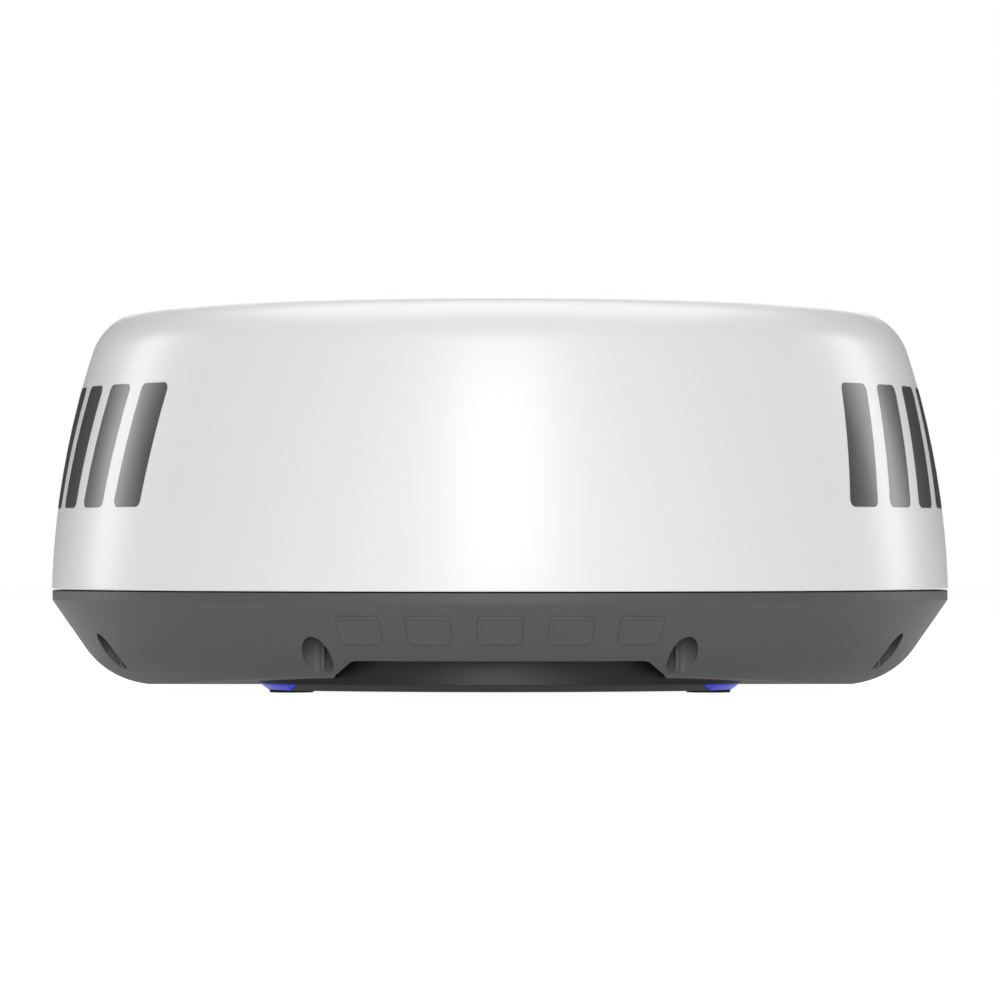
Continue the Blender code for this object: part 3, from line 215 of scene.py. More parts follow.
def turned(corners, ease=0.3 * MM, segments=96, place=(0.0, 0.0), steps=3):
    """A turned part: a closed outline of (radius, height) corners, eased, carried round the axis.
    Where the outline meets the axis, its row of points is one pole."""
    p = np.asarray(corners, float)
    ease = np.where(p[:, 0] < 1e-9, 0.0, ease)
    profile = rounded(p, np.maximum(ease, 1e-7), steps)
    axis = profile[:, 0] < 1e-5
    if not axis.any():
        return spun(profile, segments, place)
    first = np.flatnonzero(~axis & np.roll(axis, 1))[0]
    profile = np.roll(profile, 1 - first, 0)[: (~axis).sum() + 2]
    profile[[0, -1], 0] = 0.0
    return spun(profile, segments, place, closed=False)


def inset(outline, amount):
    """A closed outline moved inwards along its corners' mitres, for each amount in an array."""
    side = np.roll(outline, -1, 0) - outline
    out = np.stack((side[:, 1], -side[:, 0]), 1)
    out /= np.maximum(np.linalg.norm(out, axis=1, keepdims=True), 1e-12)
    back = np.roll(out, 1, 0)
    mitre = (out + back) / (1 + (out * back).sum(1, keepdims=True))
    return outline - mitre * np.asarray(amount)[..., None, None]


def slab(outline, low, high, ease=0.3 * MM, steps=3):
    """An outline drawn up from one height to another, its top and bottom edges eased by an arc
    that moves the outline inwards as it rises."""
    outline = np.asarray(outline, float)
    deep = 3 * ease
    edge = rounded([(deep, low), (0, low), (0, high), (deep, high)], [1e-7, ease, ease, 1e-7], steps)
    edge = edge[(edge[:, 0] < deep - 1e-6)]
    rings = inset(outline, edge[:, 0])
    z = np.broadcast_to(edge[:, 1][:, None, None], rings.shape[:2] + (1,))
    return grid(np.concatenate((rings, z), -1), close_columns=True, caps=True)


def distinct(outline):
    """An outline without points that lie on the one before them."""
    gap = np.linalg.norm(outline - np.roll(outline, 1, 0), axis=1)
    return outline[gap > 1e-7]


def panel(x, y, far_x, far_y, corner, steps):
    """A rectangle's outline with rounded corners."""
    return distinct(rounded([(x, y), (far_x, y), (far_x, far_y), (x, far_y)], corner, steps))


def plate(low, high, corner=0.5 * MM, ease=0.2 * MM, steps=3):
    """A rectangular block with rounded corners in plan and eased edges."""
    (x0, y0, z0), (x1, y1, z1) = low, high
    outline = distinct(rounded([(x0, y0), (x1, y0), (x1, y1), (x0, y1)], corner, steps))
    return slab(outline, z0, z1, ease, steps)


def round_outline(x, y, radius, count=32):
    return arc((x, y), radius, 0, TAU, count)[:-1]


def carried(section, path, aside=(1.0, 0.3, 0.2), closed=False):
    """A closed section of (across, over) points carried along a path. At each point of the path the
    section stands square to its direction, with across = direction x aside."""
    path = np.asarray(path, float)
    if closed:
        along = np.roll(path, -1, 0) - np.roll(path, 1, 0)
    else:
        along = np.gradient(path, axis=0)
    along /= np.linalg.norm(along, axis=1, keepdims=True)
    across = np.cross(along, aside)
    across /= np.linalg.norm(across, axis=1, keepdims=True)
    over = np.cross(across, along)
    section = np.asarray(section, float)
    points = path[:, None] + section[None, :, :1] * across[:, None] + section[None, :, 1:] * over[:, None]
    return grid(points, close_rows=closed, close_columns=True, caps=not closed)


def route(points, steps=10):
    """A Catmull-Rom curve through points, steps to each span."""
    p = np.asarray(points, float)
    p = np.vstack((p[:1], p, p[-1:]))
    a, b, c, d = (p[i : len(p) - 3 + i, None] for i in range(4))
    t = (np.arange(steps) / steps)[None, :, None]
    curve = (2 * b + (c - a) * t + (2 * a - 5 * b + 4 * c - d) * t**2 + (3 * b - a - 3 * c + d) * t**3) / 2
    return np.vstack((curve.reshape(-1, 3), p[-1:]))


def placed(shell, matrix=None, offset=(0.0, 0.0, 0.0)):
    """A shell turned by a 3x3 matrix and then moved."""
    points, faces = shell
    if matrix is not None:
        points = points @ np.asarray(matrix, float).T
    return points + np.asarray(offset, float), faces


def mesh_object(name, shells, finishes, sharp=38):
    """One object from shells, each given as (points, faces) or (points, faces, finish number).
    Poles are merged and faces turned outwards."""
    points, faces, numbers, start = [], [], [], 0
    for shell in shells:
        points.append(shell[0])
        faces += [[v + start for v in face] for face in shell[1]]
        numbers += [shell[2] if len(shell) > 2 else 0] * len(shell[1])
        start += len(shell[0])
    mesh = bpy.data.meshes.new(name)
    mesh.from_pydata(np.concatenate(points), [], faces)
    for finish in finishes:
        mesh.materials.append(finish)
    mesh.polygons.foreach_set("material_index", numbers)
    shape = bmesh.new()
    shape.from_mesh(mesh)
    bmesh.ops.remove_doubles(shape, verts=shape.verts, dist=2e-7)
    bmesh.ops.dissolve_degenerate(shape, edges=shape.edges, dist=1e-8)
    bmesh.ops.recalc_face_normals(shape, faces=shape.faces)
    shape.to_mesh(mesh)
    shape.free()
    mesh.shade_smooth()
    mesh.set_sharp_from_angle(angle=math.radians(sharp))
    made = bpy.data.objects.new(name, mesh)
    bpy.context.scene.collection.objects.link(made)
    return made


def solid_cut(body, *steps, sharp=38):
    """Joins or cuts a body by exact Booleans, in order, and keeps only the result. A step is an
    operation and its tool, given as shells or as an object."""
    tools = []
    for operation, tool in steps:
        tool = tool if isinstance(tool, bpy.types.Object) else mesh_object("tool", tool, [])
        change = body.modifiers.new(operation, "BOOLEAN")
        change.operation = operation
        change.solver = "EXACT"
        change.object = tool
        tools.append(tool)
    bpy.context.view_layer.update()
    result = bpy.data.meshes.new_from_object(body.evaluated_get(bpy.context.evaluated_depsgraph_get()))
    body.modifiers.clear()
    body.data = result
    for tool in tools:
        bpy.data.objects.remove(tool)
    result.shade_smooth()
    result.set_sharp_from_angle(angle=math.radians(sharp))
    return body


def stands_for(made, node, slot):
    """The piece rides on its node's body and hides the node. Its slot is not used."""
    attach(made, BODY_OF[node])
    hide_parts(node)
    return made


def fine(node_name, shells, slot, *finishes, sharp=38, steps=()):
    """A piece that stands for one node, in its slot's finish unless others are named. Steps are
    Booleans that join or cut it."""
    made = mesh_object(f"fine_{node_name}", shells, [FINISH[name] for name in finishes or (slot,)], sharp)
    if steps:
        solid_cut(made, *steps)
    return stands_for(made, node_name, slot)


def extra(name, node_name, shells, slot, *finishes):
    """A small part without a node of its own, which moves with a node's body."""
    made = mesh_object(name, shells, [FINISH[finish] for finish in finishes or (slot,)])
    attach(made, BODY_OF[node_name])
    return made


def tinted(shell, number):
    """The same shell with another of its piece's finishes."""
    return shell[0], shell[1], number


def heads(radius, degrees, *values):
    """Pan-head screws at a radius and some angles about the upright axis."""
    return [pan_head(radius * math.cos(a), radius * math.sin(a), *values) for a in np.radians(degrees)]


# ---------------------------------------------------------------- finishes

def feed(tree, socket, value):
    """Links a socket to the one given, or sets it to a plain value or colour."""
    if isinstance(value, bpy.types.NodeSocket):
        tree.links.new(value, socket)
    else:
        socket.default_value = (*value, 1.0) if isinstance(value, tuple) else value


def fill(tree, made, **values):
    """Feeds a node's inputs by name, with _ for each space."""
    for name, value in values.items():
        feed(tree, made.inputs[name.replace("_", " ")], value)


def node(tree, kind, *first, **values):
    """A shader node with its settings and inputs filled in by name, and its first inputs in order."""
    made = tree.nodes.new(kind)
    for name, value in values.items():
        if hasattr(made, name):
            setattr(made, name, value)
        else:
            fill(tree, made, **{name: value})
    for socket, value in zip(made.inputs, first):
        feed(tree, socket, value)
    return made


def maths(tree, operation, *values, clamp=False):
    return node(tree, "ShaderNodeMath", *values, operation=operation, use_clamp=clamp).outputs[0]


def here(tree):
    """Where a point lies in its piece's own frame."""
    return node(tree, "ShaderNodeTexCoord").outputs["Object"]


def noise(tree, where, scale, **values):
    return node(tree, "ShaderNodeTexNoise", Vector=where, Scale=scale, **values).outputs["Fac"]


def level(tree, factor, low, high):
    """A value from low to high as the factor goes from 0 to 1."""
    return node(tree, "ShaderNodeMapRange", Value=factor, To_Min=low, To_Max=high).outputs[0]


def mask(tree, factor, none, full):
    """A value that goes from 0 to 1 as the factor goes from none to full."""
    return node(tree, "ShaderNodeMapRange", Value=factor, From_Min=none, From_Max=full).outputs[0]


def group(name, inputs, output):
    """A shader node group with named number sockets: its tree, its input values and its output node."""
    tree = bpy.data.node_groups.new(name, "ShaderNodeTree")
    for label, default in inputs.items():
        made = tree.interface.new_socket(label, in_out="INPUT", socket_type="NodeSocketFloat")
        made.default_value = default
    for label in output:
        tree.interface.new_socket(label, in_out="OUTPUT", socket_type="NodeSocketFloat")
    return tree, tree.nodes.new("NodeGroupInput").outputs, tree.nodes.new("NodeGroupOutput")


def make_drift():
    """Broad soft cloudiness, from -1 to 1 times Amount, for colour and gloss that isn't quite even."""
    tree, given, out = group("drift", {"Scale": 20.0, "Amount": 0.1}, ["Value"])
    cloud = noise(tree, here(tree), given["Scale"], Detail=3.0, Roughness=0.55)
    fill(tree, out, Value=maths(tree, "MULTIPLY", maths(tree, "SUBTRACT", cloud, 0.5), given["Amount"]))
    return tree


def make_grain():
    """The fine texture of a moulding tool or a cast skin: two layers of noise, one a third the size of
    the other. Height is their mean, from 0 to 1, and the second output marks the lowest spots, which
    moulded finishes darken as painted shade."""
    tree, given, out = group("grain", {"Scale": 1500.0, "Coarse": 0.5}, ["Height", "Pits"])
    where = here(tree)
    wide = noise(tree, where, given["Scale"], Detail=2.0)
    fine = noise(tree, where, maths(tree, "MULTIPLY", given["Scale"], 3.0), Detail=1.0)
    both = node(tree, "ShaderNodeMix", given["Coarse"], data_type="FLOAT")
    feed(tree, both.inputs[2], fine)
    feed(tree, both.inputs[3], wide)
    fill(tree, out, Height=both.outputs[0], Pits=mask(tree, both.outputs[0], 0.40, 0.30))
    return tree


def make_edge_wear_and_highlight():
    """Where an edge is worn and lit, a mask that is part edge wear and part painted highlight: the
    surface's own direction and the one averaged over Width part there. Noise breaks the mask up."""
    tree, given, out = group("edge_wear_and_highlight", {"Width": 0.0008, "Amount": 1.0}, ["Mask"])
    soft = node(tree, "ShaderNodeBevel", samples=4, Radius=given["Width"]).outputs["Normal"]
    own = node(tree, "ShaderNodeNewGeometry").outputs["Normal"]
    alike = node(tree, "ShaderNodeVectorMath", soft, own, operation="DOT_PRODUCT").outputs["Value"]
    broken = maths(
        tree, "MULTIPLY", mask(tree, alike, 0.99, 0.80), noise(tree, here(tree), 260.0, Detail=4.0)
    )
    fill(tree, out, Mask=maths(tree, "MULTIPLY", broken, given["Amount"], clamp=True))
    return tree


def make_lathe_marks():
    """Fine rings left by a lathe: noise read along the distance from the upright axis through
    (X, Y) and along the height, Rings to a metre."""
    tree, given, out = group("lathe_marks", {"X": 0.0, "Y": 0.0, "Rings": 4000.0}, ["Height"])
    split = node(tree, "ShaderNodeSeparateXYZ", here(tree)).outputs
    squares = [maths(tree, "POWER", maths(tree, "SUBTRACT", split[a], given[a]), 2.0) for a in ("X", "Y")]
    radius = maths(tree, "SQRT", maths(tree, "ADD", *squares))
    both = node(tree, "ShaderNodeCombineXYZ", radius, split["Z"]).outputs[0]
    scaled = node(tree, "ShaderNodeVectorMath", both, operation="SCALE", Scale=given["Rings"]).outputs[0]
    fill(tree, out, Height=noise(tree, scaled, 1.0, Detail=2.0))
    return tree


GROUPS = {
    "drift": make_drift(),
    "grain": make_grain(),
    "edge_wear_and_highlight": make_edge_wear_and_highlight(),
    "lathe_marks": make_lathe_marks(),
}


def effect(tree, name, **values):
    """The outputs of one of the shared effects, placed in a finish with its own values."""
    made = tree.nodes.new("ShaderNodeGroup")
    made.node_tree = GROUPS[name]
    fill(tree, made, **values)
    return made.outputs


def base_finish(name, **sockets):
    """A Principled finish with its plain values set on the shader's own sockets."""
    made = bpy.data.materials.new(name)
    made.use_nodes = True
    shader = made.node_tree.nodes["Principled BSDF"]
    fill(made.node_tree, shader, **sockets)
    return made, made.node_tree, shader


def between(tree, factor, low, high):
    """A colour between two colours, by a value's output."""
    mix = node(tree, "ShaderNodeMix", factor, data_type="RGBA")
    feed(tree, mix.inputs[6], low)
    feed(tree, mix.inputs[7], high)
    return mix.outputs[2]


def grey(value):
    return (value, value, value)


def raised(tree, shader, height, distance, strength=1.0, soft_edge=0.0):
    """Turns a height into the shader's normal. A soft edge rounds sharp edges by that width."""
    bump = node(tree, "ShaderNodeBump", Strength=strength, Distance=distance, Height=height)
    if soft_edge:
        fill(
            tree, bump, Normal=node(tree, "ShaderNodeBevel", samples=6, Radius=soft_edge).outputs["Normal"]
        )
    fill(tree, shader, Normal=bump.outputs["Normal"])


def moulded(name, colour, deep, roughness, grain, depth, soft_edge=0.0, **sockets):
    """A moulded plastic or rubber: its colour falls to deep in the grain's pits, a painted shade, and
    drifts a little.
    """
    made, tree, shader = base_finish(name, **sockets)
    skin = effect(tree, "grain", Scale=grain)
    cloud = effect(tree, "drift", Scale=14.0, Amount=1.0)["Value"]
    # Painted shade: darker in the grain's lowest spots, added to a small random drift in tone.
    drift_and_pit_shade = maths(tree, "MULTIPLY_ADD", cloud, 0.35, skin["Pits"], clamp=True)
    fill(
        tree, shader, Base_Color=between(tree, drift_and_pit_shade, colour, deep),
        Roughness=level(tree, skin["Height"], roughness - 0.06, roughness + 0.06),
    )
    raised(tree, shader, skin["Height"], depth, 1.0, soft_edge)
    return made


def coated_casting(name, colour, edge_colour, roughness):
    """Powder coat on a casting: an orange-peel skin, lighter towards bare metal on its edges, which is
    part rubbed wear and part painted highlight.
    """
    made, tree, shader = base_finish(name, Coat_Weight=0.12, Coat_Roughness=0.3)
    skin = effect(tree, "grain", Scale=900.0, Coarse=0.7)["Height"]
    # Lighter edges: part edge wear, part painted highlight.
    wear_and_highlight = effect(tree, "edge_wear_and_highlight", Width=0.0006, Amount=0.55)["Mask"]
    cloud = effect(tree, "drift", Scale=9.0, Amount=0.10)["Value"]
    gloss = level(tree, skin, roughness - 0.1, roughness + 0.1)
    fill(
        tree, shader, Base_Color=between(tree, wear_and_highlight, colour, edge_colour),
        Roughness=maths(tree, "ADD", gloss, cloud, clamp=True),
    )
    raised(tree, shader, skin, 0.00008, 0.8, 0.0006)
    return made


def machined(name, colour, dull, roughness):
    """Turned metal with a lathe's rings round the upright axis, duller in patches."""
    made, tree, shader = base_finish(name, Metallic=1.0)
    marks = effect(tree, "lathe_marks", X=0.0, Y=0.0, Rings=5000.0)["Height"]
    cloud = effect(tree, "drift", Scale=120.0, Amount=1.0)["Value"]
    fill(
        tree, shader, Base_Color=between(tree, level(tree, cloud, 0.35, 0.75), colour, dull),
        Roughness=level(tree, marks, roughness - 0.08, roughness + 0.1),
    )
    raised(tree, shader, marks, 0.00003, 0.7)
    return made


def bare_metal(name, colour, dull, roughness, grain=1400.0, depth=0.00004):
    """Cast or sheet metal: fine grain, duller in broad patches, brighter on its edges, part rubbed wear
    and part painted highlight.
    """
    made, tree, shader = base_finish(name, Metallic=1.0)
    skin = effect(tree, "grain", Scale=grain)["Height"]
    cloud = effect(tree, "drift", Scale=45.0, Amount=1.2)["Value"]
    # Brighter edges: part edge wear, part painted highlight.
    wear_and_highlight = effect(tree, "edge_wear_and_highlight", Width=0.0005, Amount=0.8)["Mask"]
    dull_less_edges = maths(tree, "SUBTRACT", level(tree, cloud, 0.4, 0.9), wear_and_highlight, clamp=True)
    fill(
        tree, shader, Base_Color=between(tree, dull_less_edges, colour, dull),
        Roughness=level(tree, skin, roughness - 0.08, roughness + 0.12),
    )
    raised(tree, shader, skin, depth, 0.8, 0.0003)
    return made


def gloss_white(name):
    """The dome's satin gloss: an even white whose skin is a very shallow long-wave orange peel."""
    made, tree, shader = base_finish(name, Coat_Weight=0.25, Coat_Roughness=0.25, Coat_IOR=1.45)
    peel = effect(tree, "grain", Scale=160.0, Coarse=0.8)["Height"]
    cloud = effect(tree, "drift", Scale=6.0, Amount=1.0)["Value"]
    fill(
        tree, shader, Roughness=level(tree, peel, 0.34, 0.42),
        Base_Color=between(tree, level(tree, cloud, 0.3, 0.7), grey(0.80), (0.765, 0.77, 0.775)),
    )
    raised(tree, shader, peel, 0.00002, 0.5, 0.0005)
    return made


def lit_lens(name):
    """A blue light pipe: clear tinted plastic, lit from inside more strongly in streaks."""
    made, tree, shader = base_finish(name, Emission_Strength=0.75, Specular_IOR_Level=0.3)
    streak = effect(tree, "drift", Scale=90.0, Amount=1.0)["Value"]
    lit = level(tree, streak, 0.35, 0.75)
    fill(
        tree, shader, Emission_Color=between(tree, lit, (0.01, 0.012, 0.30), (0.03, 0.05, 0.62)),
        Base_Color=between(tree, lit, (0.005, 0.005, 0.12), (0.01, 0.015, 0.25)),
        Roughness=level(tree, streak, 0.18, 0.3),
    )
    return made


def board_mask(name):
    """Solder mask over copper: tracks show as a lighter green where a brick of thin lines, square to
    the board's edges, stands over a darker ground."""
    made, tree, shader = base_finish(name, Coat_Weight=0.35, Coat_Roughness=0.15)
    tracks = node(
        tree, "ShaderNodeTexBrick", Vector=here(tree), Scale=260.0, Mortar_Size=0.07, Mortar_Smooth=0.2,
        Brick_Width=1.7, Row_Height=0.42,
    ).outputs["Fac"]
    cloud = effect(tree, "drift", Scale=60.0, Amount=1.0)["Value"]
    broken = maths(tree, "MULTIPLY", tracks, level(tree, cloud, 0.2, 1.6), clamp=True)
    skin = effect(tree, "grain", Scale=2600.0)["Height"]
    fill(
        tree, shader, Roughness=level(tree, skin, 0.28, 0.42),
        Base_Color=between(tree, broken, (0.006, 0.060, 0.030), (0.020, 0.150, 0.070)),
    )
    raised(tree, shader, broken, 0.00004, 0.6)
    return made


def foil(name):
    """Dark foil film for the side bars: fine metal flake under a clear layer."""
    made, tree, shader = base_finish(name, Metallic=0.5, Coat_Weight=0.15, Coat_Roughness=0.3)
    flake = effect(tree, "grain", Scale=5200.0, Coarse=0.3)["Height"]
    fill(
        tree, shader, Roughness=level(tree, flake, 0.24, 0.34),
        Base_Color=between(tree, flake, (0.045, 0.045, 0.05), (0.085, 0.085, 0.09)),
    )
    raised(tree, shader, flake, 0.00001, 0.4)
    return made


# For each finish: how it is made, its two colours, its roughness, and then its grain and depth.
MADE_FINISHES = {
    # Moulded finishes: the second colour is painted shade in the grain's pits.
    "skirt_grey": (moulded, (0.092, 0.092, 0.094), (0.070, 0.070, 0.072), 0.46, 1900.0, 0.00006, 0.0008),
    # chassis_black's second colour lightens its edges: part wear, part painted highlight.
    "chassis_black": (coated_casting, (0.010, 0.010, 0.011), grey(0.16), 0.42),
    "rubber_black": (moulded, grey(0.022), grey(0.012), 0.72, 2600.0, 0.00008),
    "stainless": (machined, (0.62, 0.62, 0.61), (0.48, 0.48, 0.47), 0.24),
    "machined_light": (machined, (0.74, 0.74, 0.75), (0.60, 0.60, 0.61), 0.27),
    "brass": (machined, (0.78, 0.57, 0.25), (0.62, 0.44, 0.19), 0.27),
    "black_plastic": (moulded, (0.028, 0.028, 0.029), grey(0.016), 0.42, 2200.0, 0.00004, 0.0003),
    "cast_aluminium": (bare_metal, (0.70, 0.71, 0.72), (0.50, 0.51, 0.52), 0.36),
    "motor_steel": (bare_metal, (0.30, 0.30, 0.31), (0.18, 0.18, 0.19), 0.34, 2400.0),
    "motor_cap": (moulded, (0.030, 0.030, 0.032), grey(0.02), 0.4, 1500.0, 0.00005),
    "copper_gold": (bare_metal, (0.83, 0.62, 0.30), (0.70, 0.50, 0.23), 0.28, 3000.0, 0.00001),
    "part_ceramic": (moulded, (0.30, 0.24, 0.17), (0.22, 0.17, 0.12), 0.4, 4000.0, 0.00001),
    "nylon_white": (moulded, (0.72, 0.71, 0.66), (0.62, 0.61, 0.56), 0.4, 2600.0, 0.00003),
    "solder_tin": (bare_metal, (0.75, 0.75, 0.76), (0.6, 0.6, 0.62), 0.3, 3000.0, 0.00002),
    "radome_white": (gloss_white,),
    "lens_blue": (lit_lens,),
    "foil_grey": (foil,),
    "board_green": (board_mask,),
}
SOCKETS = {"skirt_grey": {"Specular_IOR_Level": 0.25}}
FINISH = {
    name: make(name, *values, **SOCKETS.get(name, {})) for name, (make, *values) in MADE_FINISHES.items()
}


# ---------------------------------------------------------------- dome

def dome_arcs(depth=0.0):
    """Centre, radius and end angles of the wall, shoulder and crown arcs, moved inwards by depth. The
    shoulder's centre lies as far from the other two centres as their radii exceed its own."""
    wall = np.array((DOME_RADIUS - WALL_ARC, DOME_BOTTOM - WALL_DROP))
    crown = np.array((0.0, APEX - CROWN_ARC))
    apart = np.linalg.norm(wall - crown)
    along = ((CROWN_ARC - SHOULDER_ARC) ** 2 - (WALL_ARC - SHOULDER_ARC) ** 2 + apart**2) / (2 * apart)
    beside = math.sqrt((CROWN_ARC - SHOULDER_ARC) ** 2 - along**2)
    unit = (wall - crown) / apart
    shoulder = crown + along * unit + beside * np.array((unit[1], -unit[0]))
    start = math.asin((DOME_BOTTOM - wall[1]) / (WALL_ARC - depth))
    low = math.atan2(*(shoulder - wall)[::-1])
    high = math.atan2(*(shoulder - crown)[::-1])
    return [
        (wall, WALL_ARC - depth, start, low),
        (shoulder, SHOULDER_ARC - depth, low, high),
        (crown, CROWN_ARC - depth, high, math.pi / 2),
    ]


def dome_line(depth, steps):
    """The dome's outline from the seam to the crown: its three arcs one after another."""
    parts = [arc(*one, count) for one, count in zip(dome_arcs(depth), steps)]
    line = np.vstack([parts[0], parts[1][1:], parts[2][1:]])
    line[-1, 0] = 0.0
    return line


def make_radome():
    """Outer line from crown to seam, the inward flange, then the inner line back to the crown."""
    outer, inner = dome_line(0.0, (30, 20, 44)), dome_line(DOME_WALL, (20, 12, 24))
    flange_top = DOME_BOTTOM + FLANGE_HEIGHT
    inner = inner[inner[:, 1] > flange_top + 3 * MM]
    foot = (inner[0, 0] + 0.4 * MM, flange_top)
    rim = [
        eased(outer[1], outer[0], (FLANGE_INNER, DOME_BOTTOM), 0.7 * MM),
        eased(outer[0], (FLANGE_INNER, DOME_BOTTOM), (FLANGE_INNER, flange_top), EASE),
        eased((FLANGE_INNER, DOME_BOTTOM), (FLANGE_INNER, flange_top), foot, EASE),
        eased((FLANGE_INNER, flange_top), foot, inner[0], 1.5 * MM),
    ]
    profile = np.vstack([outer[:0:-1], *rim, inner])
    dome = mesh_object("fine_radome", [spun(profile, 240, closed=False)], [FINISH["radome_white"]])
    x, y = SCREW_CIRCLE * np.cos(SCREW_ANGLES), SCREW_CIRCLE * np.sin(SCREW_ANGLES)
    low, top = DOME_BOTTOM + FLANGE_HEIGHT / 2, DOME_BOTTOM + 13.7 * MM
    bosses = [slab(round_outline(a, b, 6 * MM), low, top, 0.5 * MM) for a, b in zip(x, y)]
    depth = DOME_BOTTOM + 10.8 * MM
    holes = [slab(round_outline(a, b, SCREW_HOLE, 20), 0.0, depth, 0.3 * MM) for a, b in zip(x, y)]
    solid_cut(dome, ("UNION", bosses), ("DIFFERENCE", holes))
    return stands_for(dome, "radome", "radome_white")


def on_wall(angle, height, lift):
    """A point on the dome's wall, given by its angle round the axis and its height, lifted along
    the wall arc's own radius."""
    (centre, radius, _, _) = dome_arcs()[0]
    lean = np.arcsin((height - centre[1]) / radius)
    out = centre[0] + (radius + lift) * np.cos(lean)
    return np.stack(
        (out * np.cos(angle), out * np.sin(angle), centre[1] + (radius + lift) * np.sin(lean)), -1
    )


def film_patch(outline, lifts, place):
    """A thin film whose edge is an outline of (across, up): rings shrink towards its middle, the
    first of them at the film's foot, and place carries each point onto the surface."""
    middle = outline.mean(0)
    shrink = np.concatenate(([1.0, 1.0], np.linspace(0.985, 0.0, 9)))
    lift = np.concatenate((lifts, np.full(9, lifts[1])))
    flat = middle + (outline - middle) * shrink[:, None, None]
    return grid(
        place(flat[..., 0], flat[..., 1], np.broadcast_to(lift[:, None], flat.shape[:2])),
        close_columns=True, caps=True
    )


def make_side_bars():
    """Slanting bars of dark foil round both sides of the dome, a plain pattern of equal stripes."""
    height, width, pitch, slant = 68 * MM, 27 * MM, 41 * MM, 10 * MM
    corners = np.array([
        (-width - slant, -height), (width - slant, -height), (width + slant, height), (slant - width, height),
    ]) / 2
    bar = distinct(rounded(corners, 4 * MM, 5))
    bar = np.vstack(
        [
            bar[i] + (np.roll(bar, -1, 0)[i] - bar[i]) * np.linspace(0, 1, 5)[:-1, None]
            for i in range(len(bar))
        ]
    )
    for side, word in ((-1, "left"), (1, "right")):
        middle = math.pi if side < 0 else 0.0
        shells = []
        for step in range(-4, 5):
            def place(across, up, lift, step=step):
                return on_wall(middle + (across + step * pitch) / DOME_RADIUS, 137 * MM + up, lift)
            shells.append(film_patch(bar, (0.01 * MM, 0.14 * MM), place))
        extra(f"side_bars_{word}", "radome", shells, "skirt_grey", "foil_grey")


# ---------------------------------------------------------------- skirt

def skirt_line(depth, top):
    """Half of the skirt's section from the axis at its top to the axis at its bottom: lip, slope at
    SLOPE_ANGLE, and the fillet's arc, all moved inwards by depth."""
    sine, cosine = math.sin(SLOPE_ANGLE), math.cos(SLOPE_ANGLE)
    lip, bottom, fillet = LIP_RADIUS - depth, SKIRT_BOTTOM + depth, SKIRT_FILLET - depth
    slope_top = SLOPE_TOP + (1.0 - sine) / cosine * depth
    foot = lip - (slope_top - bottom) * sine / cosine
    centre = (foot - fillet * math.tan((math.pi / 2 - SLOPE_ANGLE) / 2), bottom + fillet)
    bow = arc(centre, fillet, -SLOPE_ANGLE, -math.pi / 2, 20)
    rim = [(0.0, top), *eased((0.0, top), (lip, top), (lip, slope_top), EASE)]
    turn = eased((lip, top), (lip, slope_top), bow[0], 1.2 * MM)
    flat = [(centre[0] * share, bottom) for share in (0.85, 0.7, 0.55, 0.0)]
    return np.vstack([rim, turn, bow, flat])


def skirt_solid(depth, top):
    """The skirt's section turned, with its bottom lifted along a wide arc: height = y2 / (2 ROCKER)."""
    points, faces = spun(skirt_line(depth, top), 240, closed=False)
    lowest = SKIRT_BOTTOM + depth + points[:, 1] ** 2 / (2 * ROCKER)
    points[:, 2] = np.maximum(points[:, 2], lowest)
    return points, faces


def plinth_outline(depth):
    """The plinth's plan: straight sides, a wide nose at each end and rounded corners between them."""
    x = PLINTH_X - PLINTH_CORNER
    y = math.sqrt((NOSE - PLINTH_CORNER) ** 2 - x**2)
    turn = math.atan2(y, x)
    corner = arc((x, y), PLINTH_CORNER - depth, 0.0, turn, 14)
    nose = arc((0.0, 0.0), NOSE - depth, turn, math.pi - turn, 33)
    half = np.vstack([corner, nose[1:-1], corner[::-1] * (-1, 1)])
    return np.vstack([half, -half])


def notch(half_width, top, near, far):
    """A notch's section in x and z, flat on top with eased shoulders, carried along y."""
    wide, low = half_width + 10 * MM, top - 8.7 * MM
    corners = [
        (-wide, low), (-half_width, top), (half_width, top), (wide, low), (wide, -20 * MM),
        (-wide, -20 * MM)
    ]
    section = distinct(rounded(corners, np.array((2, 6, 6, 2, 0, 0)) * MM + 1e-7, 6))
    rings = np.stack([np.insert(section, 1, y, axis=1) for y in (near, far)])
    return grid(rings, close_columns=True, caps=True)


def pocket(angle):
    """A screw pocket's plan: a bore with a flat rib left standing on its inner side."""
    half = RIB_WIDTH / 2
    opening = math.asin(half / POCKET_RADIUS)
    bore = arc((0.0, 0.0), POCKET_RADIUS, math.pi + opening, 3 * math.pi - opening, 36)
    tip = RIB_DEPTH - POCKET_RADIUS
    rib = eased(bore[-1], (tip, half), (tip, -half), 0.7 * MM)
    rib = np.vstack([rib[:-1], rib[-2::-1] * (1, -1)])
    local = np.vstack([bore, rib])
    turn = np.array([(math.cos(angle), -math.sin(angle)), (math.sin(angle), math.cos(angle))])
    return distinct(local @ turn.T + SCREW_CIRCLE * turn[:, 0])


